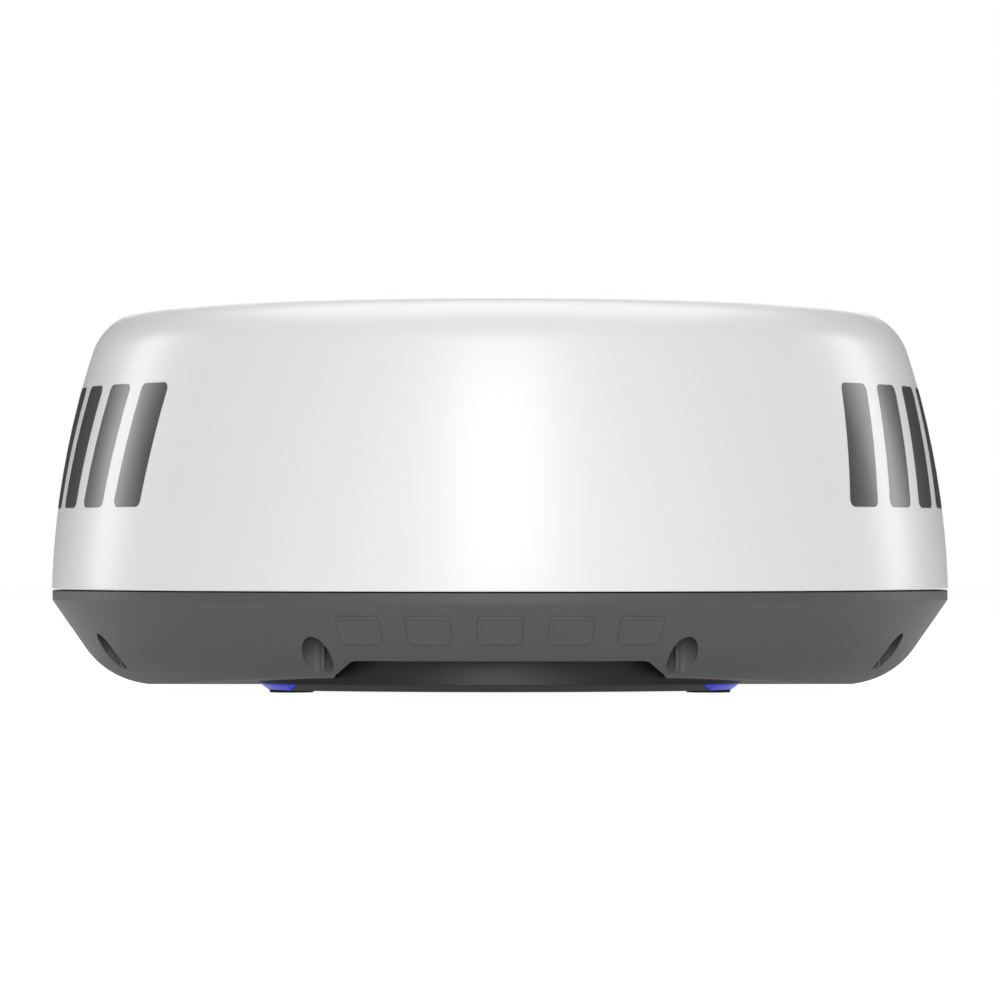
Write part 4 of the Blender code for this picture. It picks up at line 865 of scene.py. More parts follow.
def make_skirt():
    skirt = mesh_object("fine_skirt", [skirt_solid(0.0, SKIRT_TOP)], [FINISH["skirt_grey"]])
    above = SKIRT_TOP + 20 * MM
    cavity = mesh_object("skirt_cavity", [skirt_solid(SKIRT_WALL, above)], [])
    places = [(SCREW_CIRCLE * math.cos(a), SCREW_CIRCLE * math.sin(a)) for a in SCREW_ANGLES]
    sleeves = [slab(round_outline(x, y, 11 * MM, 40), -20 * MM, SLEEVE_TOP, EASE) for x, y in places]
    solid_cut(cavity, ("DIFFERENCE", sleeves))
    pockets = [slab(pocket(angle), -20 * MM, POCKET_TOP, 0.1 * MM, 2) for angle in SCREW_ANGLES]
    holes = [slab(round_outline(x, y, SCREW_HOLE, 20), 0.0, above, 0.1 * MM) for x, y in places]
    opening = [slab(plinth_outline(-0.6 * MM), -20 * MM, PLINTH_TOP + 0.3 * MM, 0.1 * MM)]
    front = [notch(79 * MM, 20.3 * MM, -NOSE + 20 * MM, -DOME_RADIUS - 20 * MM)]
    back = [notch(34 * MM, 27.5 * MM, NOSE - 20 * MM, DOME_RADIUS + 20 * MM)]
    solid_cut(
        skirt, ("DIFFERENCE", cavity), ("DIFFERENCE", pockets), ("DIFFERENCE", holes),
        ("DIFFERENCE", opening), ("DIFFERENCE", front), ("DIFFERENCE", back),
    )
    return stands_for(skirt, "skirt", "skirt_grey")


def on_slope(across, down, lift):
    """A point on the skirt's front slope: across is measured round it, down along the slope, and
    lift square to it."""
    sine, cosine = math.sin(SLOPE_ANGLE), math.cos(SLOPE_ANGLE)
    radius = LIP_RADIUS - down * sine + lift * cosine
    angle = across / (LIP_RADIUS - 10 * MM) - math.pi / 2
    return np.stack(
        (radius * np.cos(angle), radius * np.sin(angle), SLOPE_TOP - down * cosine - lift * sine), -1
    )


def make_slope_bars():
    """A row of plain raised pads on the front slope, each with a rolled rim round a flat field."""
    height, width, pitch = 18 * MM, 24 * MM, 38 * MM
    bar = distinct(
        rounded(
            np.array([(-width, -height), (width, -height), (width, height), (-width, height)]) / 2, 3 * MM,
            5
        )
    )
    shells = []
    for step in range(-2, 3):
        rings = inset(bar, np.array((0.0, 0.0, 0.1, 0.3, 0.6, 0.9, 1.2, 1.5, 1.9, 2.1, 2.3)) * MM)
        middle = bar.mean(0)
        rings = np.concatenate(
            [rings, middle + (rings[-1] - middle) * np.linspace(0.8, 0.0, 5)[:, None, None]]
        )
        rise = (-0.3, 0.3, 0.5, 0.66, 0.75, 0.78, 0.75, 0.66, 0.5, 0.38, 0.3, 0.3, 0.3, 0.3, 0.3, 0.3)
        lift = np.broadcast_to(np.array(rise)[:, None] * MM, rings.shape[:2])
        points = on_slope(rings[..., 0] + step * pitch, rings[..., 1] + 17.5 * MM, lift)
        shells.append(grid(points, close_columns=True, caps=True))
    extra("slope_bars", "skirt", shells, "skirt_grey")


# ---------------------------------------------------------------- chassis

def plinth_solid():
    """The plinth's outline drawn up from its chamfered foot."""
    deep = 9 * MM
    corners = [
        (deep, PLINTH_BOTTOM), (CHAMFER[0], PLINTH_BOTTOM), (0, PLINTH_BOTTOM + CHAMFER[1]),
        (0, PLINTH_TOP), (deep, PLINTH_TOP)
    ]
    edge = rounded(corners, np.array((0, 0.5, 0.6, 0.5, 0)) * MM + 1e-7, 3)
    edge = edge[edge[:, 0] < deep - 1e-6]
    rings = inset(plinth_outline(0.0), edge[:, 0])
    z = np.broadcast_to(edge[:, 1][:, None, None], rings.shape[:2] + (1,))
    return grid(np.concatenate((rings, z), -1), close_columns=True, caps=True)


def corner_frame(side):
    """The middle of a front corner's arc and the direction that halves it."""
    x = PLINTH_X - PLINTH_CORNER
    y = math.sqrt((NOSE - PLINTH_CORNER) ** 2 - x**2)
    half = math.atan2(y, x) / 2
    return np.array((side * x, -y)), np.array((side * math.cos(half), -math.sin(half)))


def corner_block(side, near, far, half_length, low, high, ease=0.1 * MM):
    """A bar across a front corner, between two distances from the middle of the corner's arc."""
    middle, out = corner_frame(side)
    across = np.array((-out[1], out[0]))
    corners = [(near, -half_length), (far, -half_length), (far, half_length), (near, half_length)]
    return slab(np.array([middle + a * out + b * across for a, b in corners]), low, high, ease)


def standoff_places():
    margin = 6 * MM
    for name in ("main_board", "power_board", "transceiver_board"):
        low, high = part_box(name)
        for x in (low.x + margin, high.x - margin):
            for y in (low.y + margin, high.y - margin):
                yield x, y


def make_chassis():
    """A turned bowl joined to the plinth, then hollowed, with its bosses, groove and holes."""
    step, ledge = PLINTH_TOP - PAN, NOSE - 3 * MM
    rise = PLINTH_TOP + BOWL - ledge
    outer = [
        (0.0, RIM_TOP), (RIM_RADIUS, RIM_TOP), (RIM_RADIUS, RIM_BOTTOM), (BOWL, RIM_BOTTOM), (BOWL, rise),
        (ledge, PLINTH_TOP), (ledge - step, PAN), (0.0, PAN),
    ]
    wall = CAST_WALL
    above = RIM_TOP + 20 * MM
    inner = [
        (0.0, above), (BOWL - wall, above), (BOWL - wall, rise + wall),
        (ledge - wall, PLINTH_TOP + wall), (ledge - wall - step, PAN + wall), (0.0, PAN + wall),
    ]
    body = mesh_object("fine_chassis", [turned(outer, 0.6 * MM, 192)], [FINISH["chassis_black"]])
    hollow = [turned(inner, 2.5 * MM, 192)]
    well = mesh_object(
        "well", [slab(plinth_outline(WELL_WALL), FLOOR, PAN + wall + 0.3 * MM, 0.8 * MM)], []
    )
    solid_cut(
        well,
        ("DIFFERENCE", [slab(round_outline(x, y, 11 * MM, 40), 0.0, 19 * MM, 0.8 * MM) for x, y in MOUNTS])
    )
    posts = [
        slab(round_outline(x, y, 3 * MM, 20), FLOOR - 0.3 * MM, FLOOR + 5.1 * MM, 0.3 * MM)
        for x, y in standoff_places()
    ]
    inner_side, outer_side, bottom = 223.9 * MM, 228.1 * MM, RIM_TOP - 2.6 * MM
    around = [(inner_side, above), (inner_side, bottom), (outer_side, bottom), (outer_side, above)]
    groove = [turned(around, 0.3 * MM, 192)]
    holes = [
        slab(
            round_outline(SCREW_CIRCLE * math.cos(a), SCREW_CIRCLE * math.sin(a), SCREW_HOLE, 20), 42 * MM,
            70 * MM, 0.2 * MM
        )
        for a in SCREW_ANGLES
    ]
    recess_top = PLINTH_BOTTOM + 3.2 * MM
    recesses = [slab(round_outline(x, y, 12.6 * MM, 48), 0.0, recess_top, 0.2 * MM) for x, y in MOUNTS]
    bores = [
        slab(round_outline(x, y, 6.8 * MM, 32), 0.5 * MM, recess_top + 11.1 * MM, 0.3 * MM)
        for x, y in MOUNTS
    ]
    lens_top = PLINTH_BOTTOM + 3.8 * MM
    lenses = [corner_block(side, 32.7 * MM, 60 * MM, 22.3 * MM, 0.0, lens_top) for side in (-1, 1)]
    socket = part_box("cable_socket_shell")
    middle_z = (socket[0].z + socket[1].z) / 2
    socket_hole = [
        placed(
            slab(round_outline(0, 0, 6.8 * MM, 32), -25 * MM, 25 * MM, 0.2 * MM), REARWARDS,
            (0, NOSE, middle_z)
        )
    ]
    nut_room = [
        plate(
            (-10 * MM, NOSE - 20 * MM, FLOOR - 3.5 * MM), (10 * MM, NOSE - 4.7 * MM, middle_z + 9.4 * MM),
            1 * MM
        )
    ]
    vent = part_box("breather_vent")
    vent_x, vent_y = (vent[0].x + vent[1].x) / 2, (vent[0].y + vent[1].y) / 2
    vent_hole = [slab(round_outline(vent_x, vent_y, 5.2 * MM, 32), 0.0, FLOOR + 5 * MM, 0.2 * MM)]
    solid_cut(
        body, ("UNION", [plinth_solid()]), ("DIFFERENCE", hollow), ("DIFFERENCE", well), ("UNION", posts),
        ("DIFFERENCE", groove), ("DIFFERENCE", holes), ("DIFFERENCE", recesses), ("DIFFERENCE", bores),
        ("DIFFERENCE", lenses), ("DIFFERENCE", socket_hole), ("DIFFERENCE", nut_room),
        ("DIFFERENCE", vent_hole),
    )
    return stands_for(body, "chassis", "chassis_black")


def make_lenses():
    """A bar across each front corner, cut to the plinth's own outer form."""
    for side, word in ((-1, "left"), (1, "right")):
        low, high = PLINTH_BOTTOM + 0.3 * MM, PLINTH_BOTTOM + 3.5 * MM
        block = corner_block(side, 33 * MM, 60 * MM, 22 * MM, low, high)
        fine(f"accent_lens_{word}", [block], "lens_blue", steps=[("INTERSECT", [plinth_solid()])])


def make_seal():
    """A round-section ring, squeezed to its groove: |across|^2.4 + |up|^2.4 = 1."""
    low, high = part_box("dome_seal")
    t = np.linspace(0, TAU, 21)[:-1]
    across = np.sign(np.cos(t)) * np.abs(np.cos(t)) ** (2 / 2.4)
    up = np.sign(np.sin(t)) * np.abs(np.sin(t)) ** (2 / 2.4)
    profile = np.stack((226 * MM + 1.6 * MM * across, (low.z + high.z) / 2 + (high.z - low.z) / 2 * up), 1)
    fine("dome_seal", [spun(profile, 240)], "rubber_black")


def socket_screw(x, y, head_low, head_high, tip, head, shank, lobes=6):
    """A screw with its head down: rings from the recess in its head, whose radius swells six times a
    turn, over the head's eased rim and along the threaded shank to its tip."""
    recess, cut = 0.52 * head, 0.55 * (head_high - head_low)
    rim = arc((head - 0.6 * MM, head_low + 0.6 * MM), 0.6 * MM, -math.pi / 2, 0.0, 4)
    pitch = 0.8 * MM
    turns = int((tip - head_high) / pitch * 4)
    z = np.linspace(head_high, tip - 0.6 * MM, turns)
    thread = np.stack((shank - 0.18 * MM * (1 + np.cos(TAU * (z - head_high) / pitch)), z), 1)
    profile = np.vstack([
        [
            (0.0, head_low + cut), (recess * 0.9, head_low + cut), (recess, head_low + 0.2 * MM),
            (recess + 0.25 * MM, head_low)
        ],
        rim, [(head, head_high - 0.2 * MM), (head - 0.2 * MM, head_high), (shank, head_high)], thread,
        [(shank - 0.7 * MM, tip), (0.0, tip)],
    ])
    points, faces = spun(profile, 48, (x, y), closed=False)
    points = points.reshape(len(profile), 48, 3)
    swell = 1 + 0.13 * np.cos(lobes * np.arange(48) * TAU / 48)
    for row in range(4):
        points[row, :, 0] = x + (points[row, :, 0] - x) * swell
        points[row, :, 1] = y + (points[row, :, 1] - y) * swell
    return points.reshape(-1, 3), faces


def make_dome_screws():
    for number, angle in enumerate(SCREW_ANGLES, 1):
        name = f"dome_screw_{number}"
        low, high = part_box(name)
        x, y = SCREW_CIRCLE * math.cos(angle), SCREW_CIRCLE * math.sin(angle)
        head_high = low.z + 4.3 * MM
        shell = socket_screw(x, y, low.z, head_high, high.z, 4.5 * MM, 2.4 * MM)
        fine(name, [shell], "stainless")


def make_pads_and_inserts():
    """Rubber pads with two ring grooves underneath, and knurled inserts with a threaded bore."""
    for number, (x, y) in enumerate(MOUNTS, 1):
        low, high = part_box(f"mount_pad_{number}")
        groove = 0.7 * MM
        corners = [
            (5, low.z), (6.6, low.z), (6.9, low.z + groove), (7.7, low.z + groove), (8.0, low.z),
            (9.6, low.z),
            (9.9, low.z + groove), (10.7, low.z + groove), (11.0, low.z), (12.3, low.z), (12.3, high.z),
            (5, high.z),
        ]
        profile = [(r * MM, z) for r, z in corners]
        fine(f"mount_pad_{number}", [turned(profile, 0.25 * MM, 72, (x, y), 2)], "rubber_black")
        low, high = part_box(f"mount_insert_{number}")
        fine(f"mount_insert_{number}", [threaded_insert(x, y, low.z, high.z)], "brass")


def threaded_insert(x, y, low, high):
    """A bush whose outside is knurled, radius + depth * |sin(20 angle)| between two plain bands, and
    whose bore carries a thread: radius = bore + depth * triangle(height / pitch - angle / turn)."""
    angle = np.arange(80) * TAU / 80
    z_out = np.linspace(low, high, 17)[:, None]
    band = (np.abs((z_out - low) / (high - low) - 0.5) < 0.38)
    outside = 6.1 * MM + band * 0.4 * MM * np.abs(np.sin(20 * angle)) + 0.0 * z_out
    z_in = np.linspace(high, low, 60)[:, None]
    phase = (z_in / (1.25 * MM) - angle / TAU) % 1.0
    inside = 3.4 * MM + 0.5 * MM * np.abs(2 * phase - 1)
    radius = np.vstack([outside, inside])
    z = np.vstack([z_out, z_in]) + 0.0 * angle
    points = np.stack((x + radius * np.cos(angle), y + radius * np.sin(angle), z), -1)
    return grid(points, close_rows=True, close_columns=True)


# ---------------------------------------------------------------- socket, vent and light boards

def boxed(low, high, chamfer=0.15 * MM):
    """A small part in few faces: a block whose top edges are cut back by a chamfer."""
    low, high = np.asarray(low, float), np.asarray(high, float)
    cut = min(chamfer, 0.3 * (high - low).min())
    square = np.array([(0, 0), (1, 0), (1, 1), (0, 1)])
    rings = []
    for z, back in ((low[2], 0.0), (high[2] - cut, 0.0), (high[2], cut)):
        a, b = low[:2] + back, high[:2] - back
        rings.append(np.column_stack((a + square * (b - a), np.full(4, z))))
    return grid(np.stack(rings), close_columns=True, caps=True)


def thread_profile(radius, low, high, pitch=1.0 * MM, depth=0.3 * MM):
    """A line of rings up a thread: radius - depth * (1 - cos(turn)) / 2."""
    z = np.linspace(low, high, max(5, int((high - low) / pitch * 6)))
    return np.stack((radius - depth * (1 - np.cos(TAU * (z - low) / pitch)) / 2, z), 1)


def make_socket():
    """The socket's parts are turned about an upright axis and then laid along +Y."""
    low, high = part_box("cable_socket_shell")
    place = (0.0, NOSE, (low.z + high.z) / 2)
    front, back = low.y - NOSE, high.y - NOSE
    bore = 5.0 * MM
    thread = thread_profile(6.5 * MM, 2.8 * MM, back - 0.6 * MM)
    profile = np.vstack([
        [(bore, back - 0.4 * MM), (bore + 0.3 * MM, back), (6.1 * MM, back)][::-1],
        [(bore, front), (6.5 * MM, front)],
        [
            (6.5 * MM, 0.3 * MM), (9.0 * MM, 0.3 * MM), (9.4 * MM, 0.7 * MM), (9.4 * MM, 1.9 * MM),
            (9.1 * MM, 2.3 * MM), (6.5 * MM, 2.3 * MM)
        ],
        thread,
    ])
    fine("cable_socket_shell", [placed(spun(profile, 64), REARWARDS, place)], "black_plastic")
    low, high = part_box("cable_socket_insert")
    inner, outer = low.y - NOSE, high.y - NOSE - 5 * MM
    body = turned(
        [
            (0, inner), (4.7 * MM, inner), (4.7 * MM, outer), (1.2 * MM, outer), (1.2 * MM, outer - 1 * MM),
            (0, outer - 1 * MM)
        ],
        0.3 * MM, 48
    )
    pins = []
    for turn in range(5):
        x, y = 2.8 * MM * math.cos(TAU * turn / 5), 2.8 * MM * math.sin(TAU * turn / 5)
        pin = turned(
            [
                (0, outer - 2 * MM), (0.5 * MM, outer - 2 * MM), (0.5 * MM, outer + 5 * MM),
                (0, outer + 5.3 * MM)
            ],
            0.2 * MM, 16, (x, y)
        )
        pins.append(tinted(placed(pin, REARWARDS, place), 1))
    fine(
        "cable_socket_insert", [placed(body, REARWARDS, place), *pins], "black_plastic", "black_plastic",
        "brass"
    )
    low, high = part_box("cable_socket_nut")
    hexagon = rounded(round_outline(0, 0, 8.2 * MM, 6), 0.6 * MM, 3)
    nut = mesh_object(
        "fine_cable_socket_nut",
        [placed(slab(hexagon, low.y - NOSE, high.y - NOSE, 0.4 * MM), REARWARDS, place)],
        [FINISH["stainless"]]
    )
    hole = placed(slab(round_outline(0, 0, 6.8 * MM, 40), -30 * MM, 5 * MM, 0.1 * MM), REARWARDS, place)
    solid_cut(nut, ("DIFFERENCE", [hole]))
    stands_for(nut, "cable_socket_nut", "stainless")


def make_breather():
    """A cap with a stem: the cap's rim swells into twelve grips, radius * (1 + 0.03 cos(12 angle))."""
    low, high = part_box("breather_vent")
    x, y = (low.x + high.x) / 2, (low.y + high.y) / 2
    seat = low.z + 1.5 * MM
    corners = [
        (1.5 * MM, high.z), (4.9 * MM, high.z), (4.9 * MM, seat), (7.8 * MM, seat), (7.8 * MM, low.z),
        (1.5 * MM, low.z)
    ]
    points, faces = turned(corners, 0.35 * MM, 96)
    angle, radius = np.arctan2(points[:, 1], points[:, 0]), np.hypot(points[:, 0], points[:, 1])
    points[:, :2] *= (1 + 0.025 * np.cos(12 * angle) * (radius > 6.5 * MM))[:, None]
    fine("breather_vent", [placed((points, faces), None, (x, y, 0))], "black_plastic")


def make_light_boards():
    """Each small board carries one light, close to the light pipe's hole."""
    for side, word in ((-1, "left"), (1, "right")):
        name = f"accent_led_board_{word}"
        low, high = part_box(name)
        middle, out = corner_frame(side)
        far = PLINTH_CORNER - WELL_WALL - 1.2 * MM
        board = corner_block(side, far - 8 * MM, far, 7 * MM, low.z, high.z, 0.15 * MM)
        x, y = middle + out * (far - 2.5 * MM)
        lamp = slab(round_outline(x, y, 1.4 * MM, 20), high.z, high.z + 0.9 * MM, 0.3 * MM)
        fine(name, [board, tinted(lamp, 1)], "board_green", "board_green", "nylon_white")


# ---------------------------------------------------------------- boards

def pan_head(x, y, z, radius=2.6 * MM, height=1.7 * MM):
    """A low domed screw head with a cross recess: its top dips along both diagonals."""
    t = np.linspace(0, 1, 9)
    r = radius * np.sin(t * math.pi / 2)[::-1]
    rise = height * np.sin(t * math.pi / 2)
    profile = np.vstack([[(0.0, z)], np.stack((r, z + rise), 1)])
    profile[-1, 0] = 0.0
    points, faces = spun(profile, 32, closed=False)
    across = np.minimum(np.abs(points[:, 0]), np.abs(points[:, 1]))
    near = np.hypot(points[:, 0], points[:, 1]) < 0.55 * radius
    dip = (across < 0.16 * radius) & near & (points[:, 2] > z + 0.5 * height)
    points[:, 2] -= 0.35 * height * dip
    return placed((points, faces), None, (x, y, 0))


def small_parts(low, high, z, count, seed, keep_off):
    """Tiny parts on a board's grid, skipping the places that bigger parts and screws take."""
    draw = np.random.default_rng(seed)
    shells = []
    for x, y, turn in zip(
        draw.uniform(low.x, high.x, count), draw.uniform(low.y, high.y, count), draw.random(count)
    ):
        x, y = round(x / (2 * MM)) * 2 * MM, round(y / (2 * MM)) * 2 * MM
        half = np.array((1.0, 0.5) if turn < 0.5 else (0.5, 1.0)) * MM
        inside = low.x + 2 * MM < x < high.x - 2 * MM and low.y + 2 * MM < y < high.y - 2 * MM
        clear = all(
            abs(x - a) > w / 2 + 1.4 * MM or abs(y - b) > d / 2 + 1.4 * MM
            for a, b, w, d in keep_off
        )
        if inside and clear:
            keep_off = keep_off + [(x, y, 1.6 * MM, 1.6 * MM)]
            tall = (0.5 + 0.5 * turn) * MM
            body = 2 if turn < 0.3 or turn > 0.8 else 3
            shells.append(
                tinted(boxed((x - half[0], y - half[1], z), (x + half[0], y + half[1], z + tall)), body)
            )
            end = half * ((1.25, 1.0) if half[0] > half[1] else (1.0, 1.25))
            shells.append(
                tinted(
                    boxed(
                        (x - end[0], y - end[1], z - 0.02 * MM), (x + end[0], y + end[1], z + 0.3 * tall)
                    ),
                    1
                )
            )
    return shells


def chip(x, y, z, wide, deep, tall, legs):
    """A flat package with rows of bent legs along two sides."""
    body = tinted(
        plate(
            (x - wide / 2, y - deep / 2, z + 0.2 * MM), (x + wide / 2, y + deep / 2, z + tall), 0.3 * MM,
            0.15 * MM, 2
        ),
        2
    )
    shells = [body]
    for side in (-1, 1):
        for leg in np.linspace(-0.45, 0.45, legs) * wide:
            a, b = sorted((y + side * deep / 2, y + side * (deep / 2 + 1.1 * MM)))
            shells.append(
                tinted(boxed((x + leg - 0.2 * MM, a, z), (x + leg + 0.2 * MM, b, z + 0.5 * MM)), 1)
            )
    return shells


def heat_sink(x, y, z, side, tall, fins=8):
    """A base plate with a row of thin upright fins."""
    shells = [
        tinted(
            plate((x - side / 2, y - side / 2, z), (x + side / 2, y + side / 2, z + 1.2 * MM), 0.3 * MM), 4
        )
    ]
    for place in np.linspace(-0.46, 0.46, fins) * side:
        low, high = (x + place - 0.4 * MM, y - side / 2, z + 1.0 * MM), (
            x + place + 0.4 * MM, y + side / 2, z + tall
        )
        shells.append(tinted(boxed(low, high, 0.1 * MM), 4))
    return shells


def can(x, y, z, radius, tall):
    """An upright can: a rolled rim at its foot and a domed, scored top."""
    corners = [
        (0, z), (radius, z), (radius, z + 0.12 * tall), (0.92 * radius, z + 0.16 * tall),
        (radius, z + 0.2 * tall),
        (radius, z + tall), (0.8 * radius, z + tall), (0.75 * radius, z + 0.98 * tall),
        (0, z + 0.98 * tall),
    ]
    return tinted(turned(corners, 0.3 * MM, 32, (x, y), 2), 4)


def wound_coil(x, y, z, radius, tall, turns=16):
    """A toroid wound with wire: a ring whose tube swells under each turn, r = tube (1 + 0.09 cos)."""
    u = np.linspace(0, TAU, turns * 8 + 1)[:-1, None]
    v = np.linspace(0, TAU, 17)[:-1][None, :]
    tube = tall / 2 * (1 + 0.09 * np.cos(turns * u)) * np.ones_like(v)
    out = (radius - tall / 2) + tube * np.cos(v)
    points = np.stack((x + out * np.cos(u), y + out * np.sin(u), z + tall / 2 + tube * np.sin(v)), -1)
    return tinted(grid(points, close_rows=True, close_columns=True), 5)


def header(x, y, z, wide, deep, tall, pins):
    """An open-topped plug housing with a row of pins in it."""
    wall, lap = 0.7 * MM, 0.1 * MM
    a, b = wide / 2, deep / 2
    shells = [tinted(boxed((x - a + lap, y - b + lap, z), (x + a - lap, y + b - lap, z + 1 * MM)), 6)]
    for side in (-1, 1):
        near, far = sorted((side * b, side * (b - wall)))
        shells.append(tinted(boxed((x - a, y + near, z), (x + a, y + far, z + tall)), 6))
        near, far = sorted((side * a, side * (a - wall)))
        shells.append(tinted(boxed((x + near, y - b + lap, z), (x + far, y + b - lap, z + tall - lap)), 6))
    for place in np.linspace(-0.4, 0.4, pins) * wide:
        shells.append(
            tinted(
                boxed(
                    (x + place - 0.3 * MM, y - 0.3 * MM, z),
                    (x + place + 0.3 * MM, y + 0.3 * MM, z + 0.8 * tall)
                ),
                1
            )
        )
    return shells


def on_board(name, u, v):
    """A place on a board, as shares of its width and depth."""
    low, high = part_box(name)
    return low.x + u * (high.x - low.x), low.y + v * (high.y - low.y)


def make_board(name, parts, taken, seed, count=150):
    """A board, its bigger parts, its corner screws and small parts strewn between them."""
    low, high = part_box(name)
    top = low.z + BOARD_THICK
    sheet = plate((low.x, low.y, low.z), (high.x, high.y, top), 2 * MM, 0.15 * MM)
    corners = [(x, y) for x in (low.x + 6 * MM, high.x - 6 * MM) for y in (low.y + 6 * MM, high.y - 6 * MM)]
    screws = [tinted(pan_head(x, y, top), 4) for x, y in corners]
    taken = taken + [(x, y, 7 * MM, 7 * MM) for x, y in corners]
    fine(
        name, [sheet, *screws, *parts, *small_parts(low, high, top, count, seed, taken)], "board_green",
        *BOARD_FINISHES
    )


def make_boards():
    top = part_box("main_board")[0].z + BOARD_THICK
    place = lambda u, v: on_board("main_board", u, v)
    spots = [place(0.5, 0.55), place(0.3, 0.8), place(0.7, 0.8), place(0.5, 0.25), place(0.5, 0.93)]
    parts = heat_sink(*spots[0], top, 28 * MM, 3 * MM, 12)
    parts += chip(*spots[1], top, 12 * MM, 9 * MM, 1.6 * MM, 12) + chip(
        *spots[2], top, 12 * MM, 9 * MM, 1.6 * MM, 12
    )
    parts += chip(*spots[3], top, 16 * MM, 15 * MM, 2 * MM, 20) + header(
        *spots[4], top, 20 * MM, 6 * MM, 6 * MM, 8
    )
    taken = [
        (*spots[0], 30 * MM, 30 * MM), (*spots[1], 14 * MM, 12 * MM), (*spots[2], 14 * MM, 12 * MM),
        (*spots[3], 18 * MM, 19 * MM), (*spots[4], 20 * MM, 7 * MM)
    ]
    make_board("main_board", parts, taken, 3, 260)
    place = lambda u, v: on_board("power_board", u, v)
    spots = [place(0.45, 0.55), place(0.5, 0.30), place(0.35, 0.75), place(0.30, 0.95)]
    x, y = spots[0]
    parts = [can(x + dx * MM, y + dy * MM, top, 5.5 * MM, 14 * MM) for dx in (-7, 7) for dy in (-6, 6)]
    parts += [wound_coil(*spots[1], top, 9 * MM, 8 * MM)]
    parts += chip(*spots[2], top, 12 * MM, 8 * MM, 4 * MM, 5) + header(
        *spots[3], top, 14 * MM, 8 * MM, 5 * MM, 3
    )
    taken = [
        (x, y, 27 * MM, 25 * MM), (*spots[1], 19 * MM, 19 * MM), (*spots[2], 14 * MM, 12 * MM),
        (*spots[3], 16 * MM, 9 * MM)
    ]
    taken += [(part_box("power_board")[0].x + 17 * MM, MOTOR_LEAD_END, 8 * MM, 8 * MM)]
    make_board("power_board", parts, taken, 8, 240)
    low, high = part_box("transceiver_shield")
    middle = ((low.x + high.x) / 2, (low.y + high.y) / 2)
    taken = [(*middle, high.x - low.x + 1 * MM, high.y - low.y + 1 * MM)]
    make_board("transceiver_board", [], taken, 5, 300)


def make_shield():
    """A drawn can: eased box, a shallow rib round its top, and two rows of pressed dimples."""
    low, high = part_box("transceiver_shield")
    skin = 1 * MM
    shield = mesh_object(
        "fine_transceiver_shield", [plate(low, high, 2.5 * MM, 0.8 * MM, 4)], [FINISH["cast_aluminium"]]
    )
    inside = plate(
        (low.x + skin, low.y + skin, low.z - 5 * MM), (high.x - skin, high.y - skin, high.z - skin),
        1.5 * MM, 0.5 * MM
    )
    solid_cut(shield, ("DIFFERENCE", [inside]))
    stands_for(shield, "transceiver_shield", "cast_aluminium")
    shells = []
    edge = 7 * MM
    rib = panel(low.x + edge, low.y + edge, high.x - edge, high.y - edge, 4 * MM, 5)
    ring_line = np.insert(rib, 2, high.z, axis=1)
    bead = arc((0, 0), 0.8 * MM, 0, TAU, 10)[:-1]
    shells.append(carried(bead, ring_line, (0, 0, 1), closed=True))
    for x in np.linspace(low.x + 16 * MM, high.x - 16 * MM, 9):
        for y in (low.y + 18 * MM, high.y - 18 * MM):
            shells.append(
                turned(
                    [
                        (0, high.z - 1 * MM), (2.2 * MM, high.z - 1 * MM), (2.2 * MM, high.z + 0.3 * MM),
                        (0, high.z + 0.3 * MM)
                    ],
                    0.25 * MM, 24, (x, y)
                )
            )
    extra("shield_beads", "transceiver_shield", shells, "cast_aluminium")


# ---------------------------------------------------------------- spindle, bearings and belt drive

def make_spindle():
    low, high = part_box("spindle")
    bore, post, shoulder, flange = 5.5 * MM, 10 * MM, 12.3 * MM, 30 * MM
    flange_top = low.z + 5 * MM
    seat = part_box("lower_bearing_inner")[0].z - 0.3 * MM
    corners = [
        (bore, high.z), (post, high.z), (post, seat), (shoulder, seat), (shoulder, flange_top),
        (flange, flange_top), (flange, low.z), (bore, low.z)
    ]
    window = plate(
        (-3 * MM, -20 * MM, flange_top + 0.3 * MM), (3 * MM, 0.0, flange_top + 10 * MM), 0.3 * MM
    )
    shells, steps = [turned(corners, 0.5 * MM, 96)], [("DIFFERENCE", [window])]
    fine("spindle", shells, "cast_aluminium", "machined_light", steps=steps)
    screws = heads(22.5 * MM, (45, 135, 225, 315), flange_top, 3.2 * MM, 2.0 * MM)
    extra("spindle_screws", "spindle", screws, "stainless")
    low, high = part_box("rotary_joint_stator")
    radius, dimple, sunk = 5.2 * MM, 2 * MM, high.z - 0.4 * MM
    corners = [(0, low.z), (radius, low.z), (radius, high.z), (dimple, high.z), (dimple, sunk), (0, sunk)]
    fine("rotary_joint_stator", [turned(corners, 0.2 * MM, 48)], "brass")


def make_bearings():
    """Races with a shallow shield groove turned into both faces."""
    for word in ("lower", "upper"):
        for ring, inner, outer in (("inner", 10.3 * MM, 12.6 * MM), ("outer", 12.9 * MM, 16.0 * MM)):
            name = f"{word}_bearing_{ring}"
            low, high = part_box(name)
            a, b, dip = inner + 0.35 * (outer - inner), outer - 0.35 * (outer - inner), 0.25 * MM
            corners = [
                (inner, low.z), (a, low.z), (a, low.z + dip), (b, low.z + dip), (b, low.z), (outer, low.z),
                (outer, high.z), (b, high.z), (b, high.z - dip), (a, high.z - dip), (a, high.z),
                (inner, high.z),
            ]
            fine(name, [turned(corners, 0.15 * MM, 72, steps=2)], "stainless")


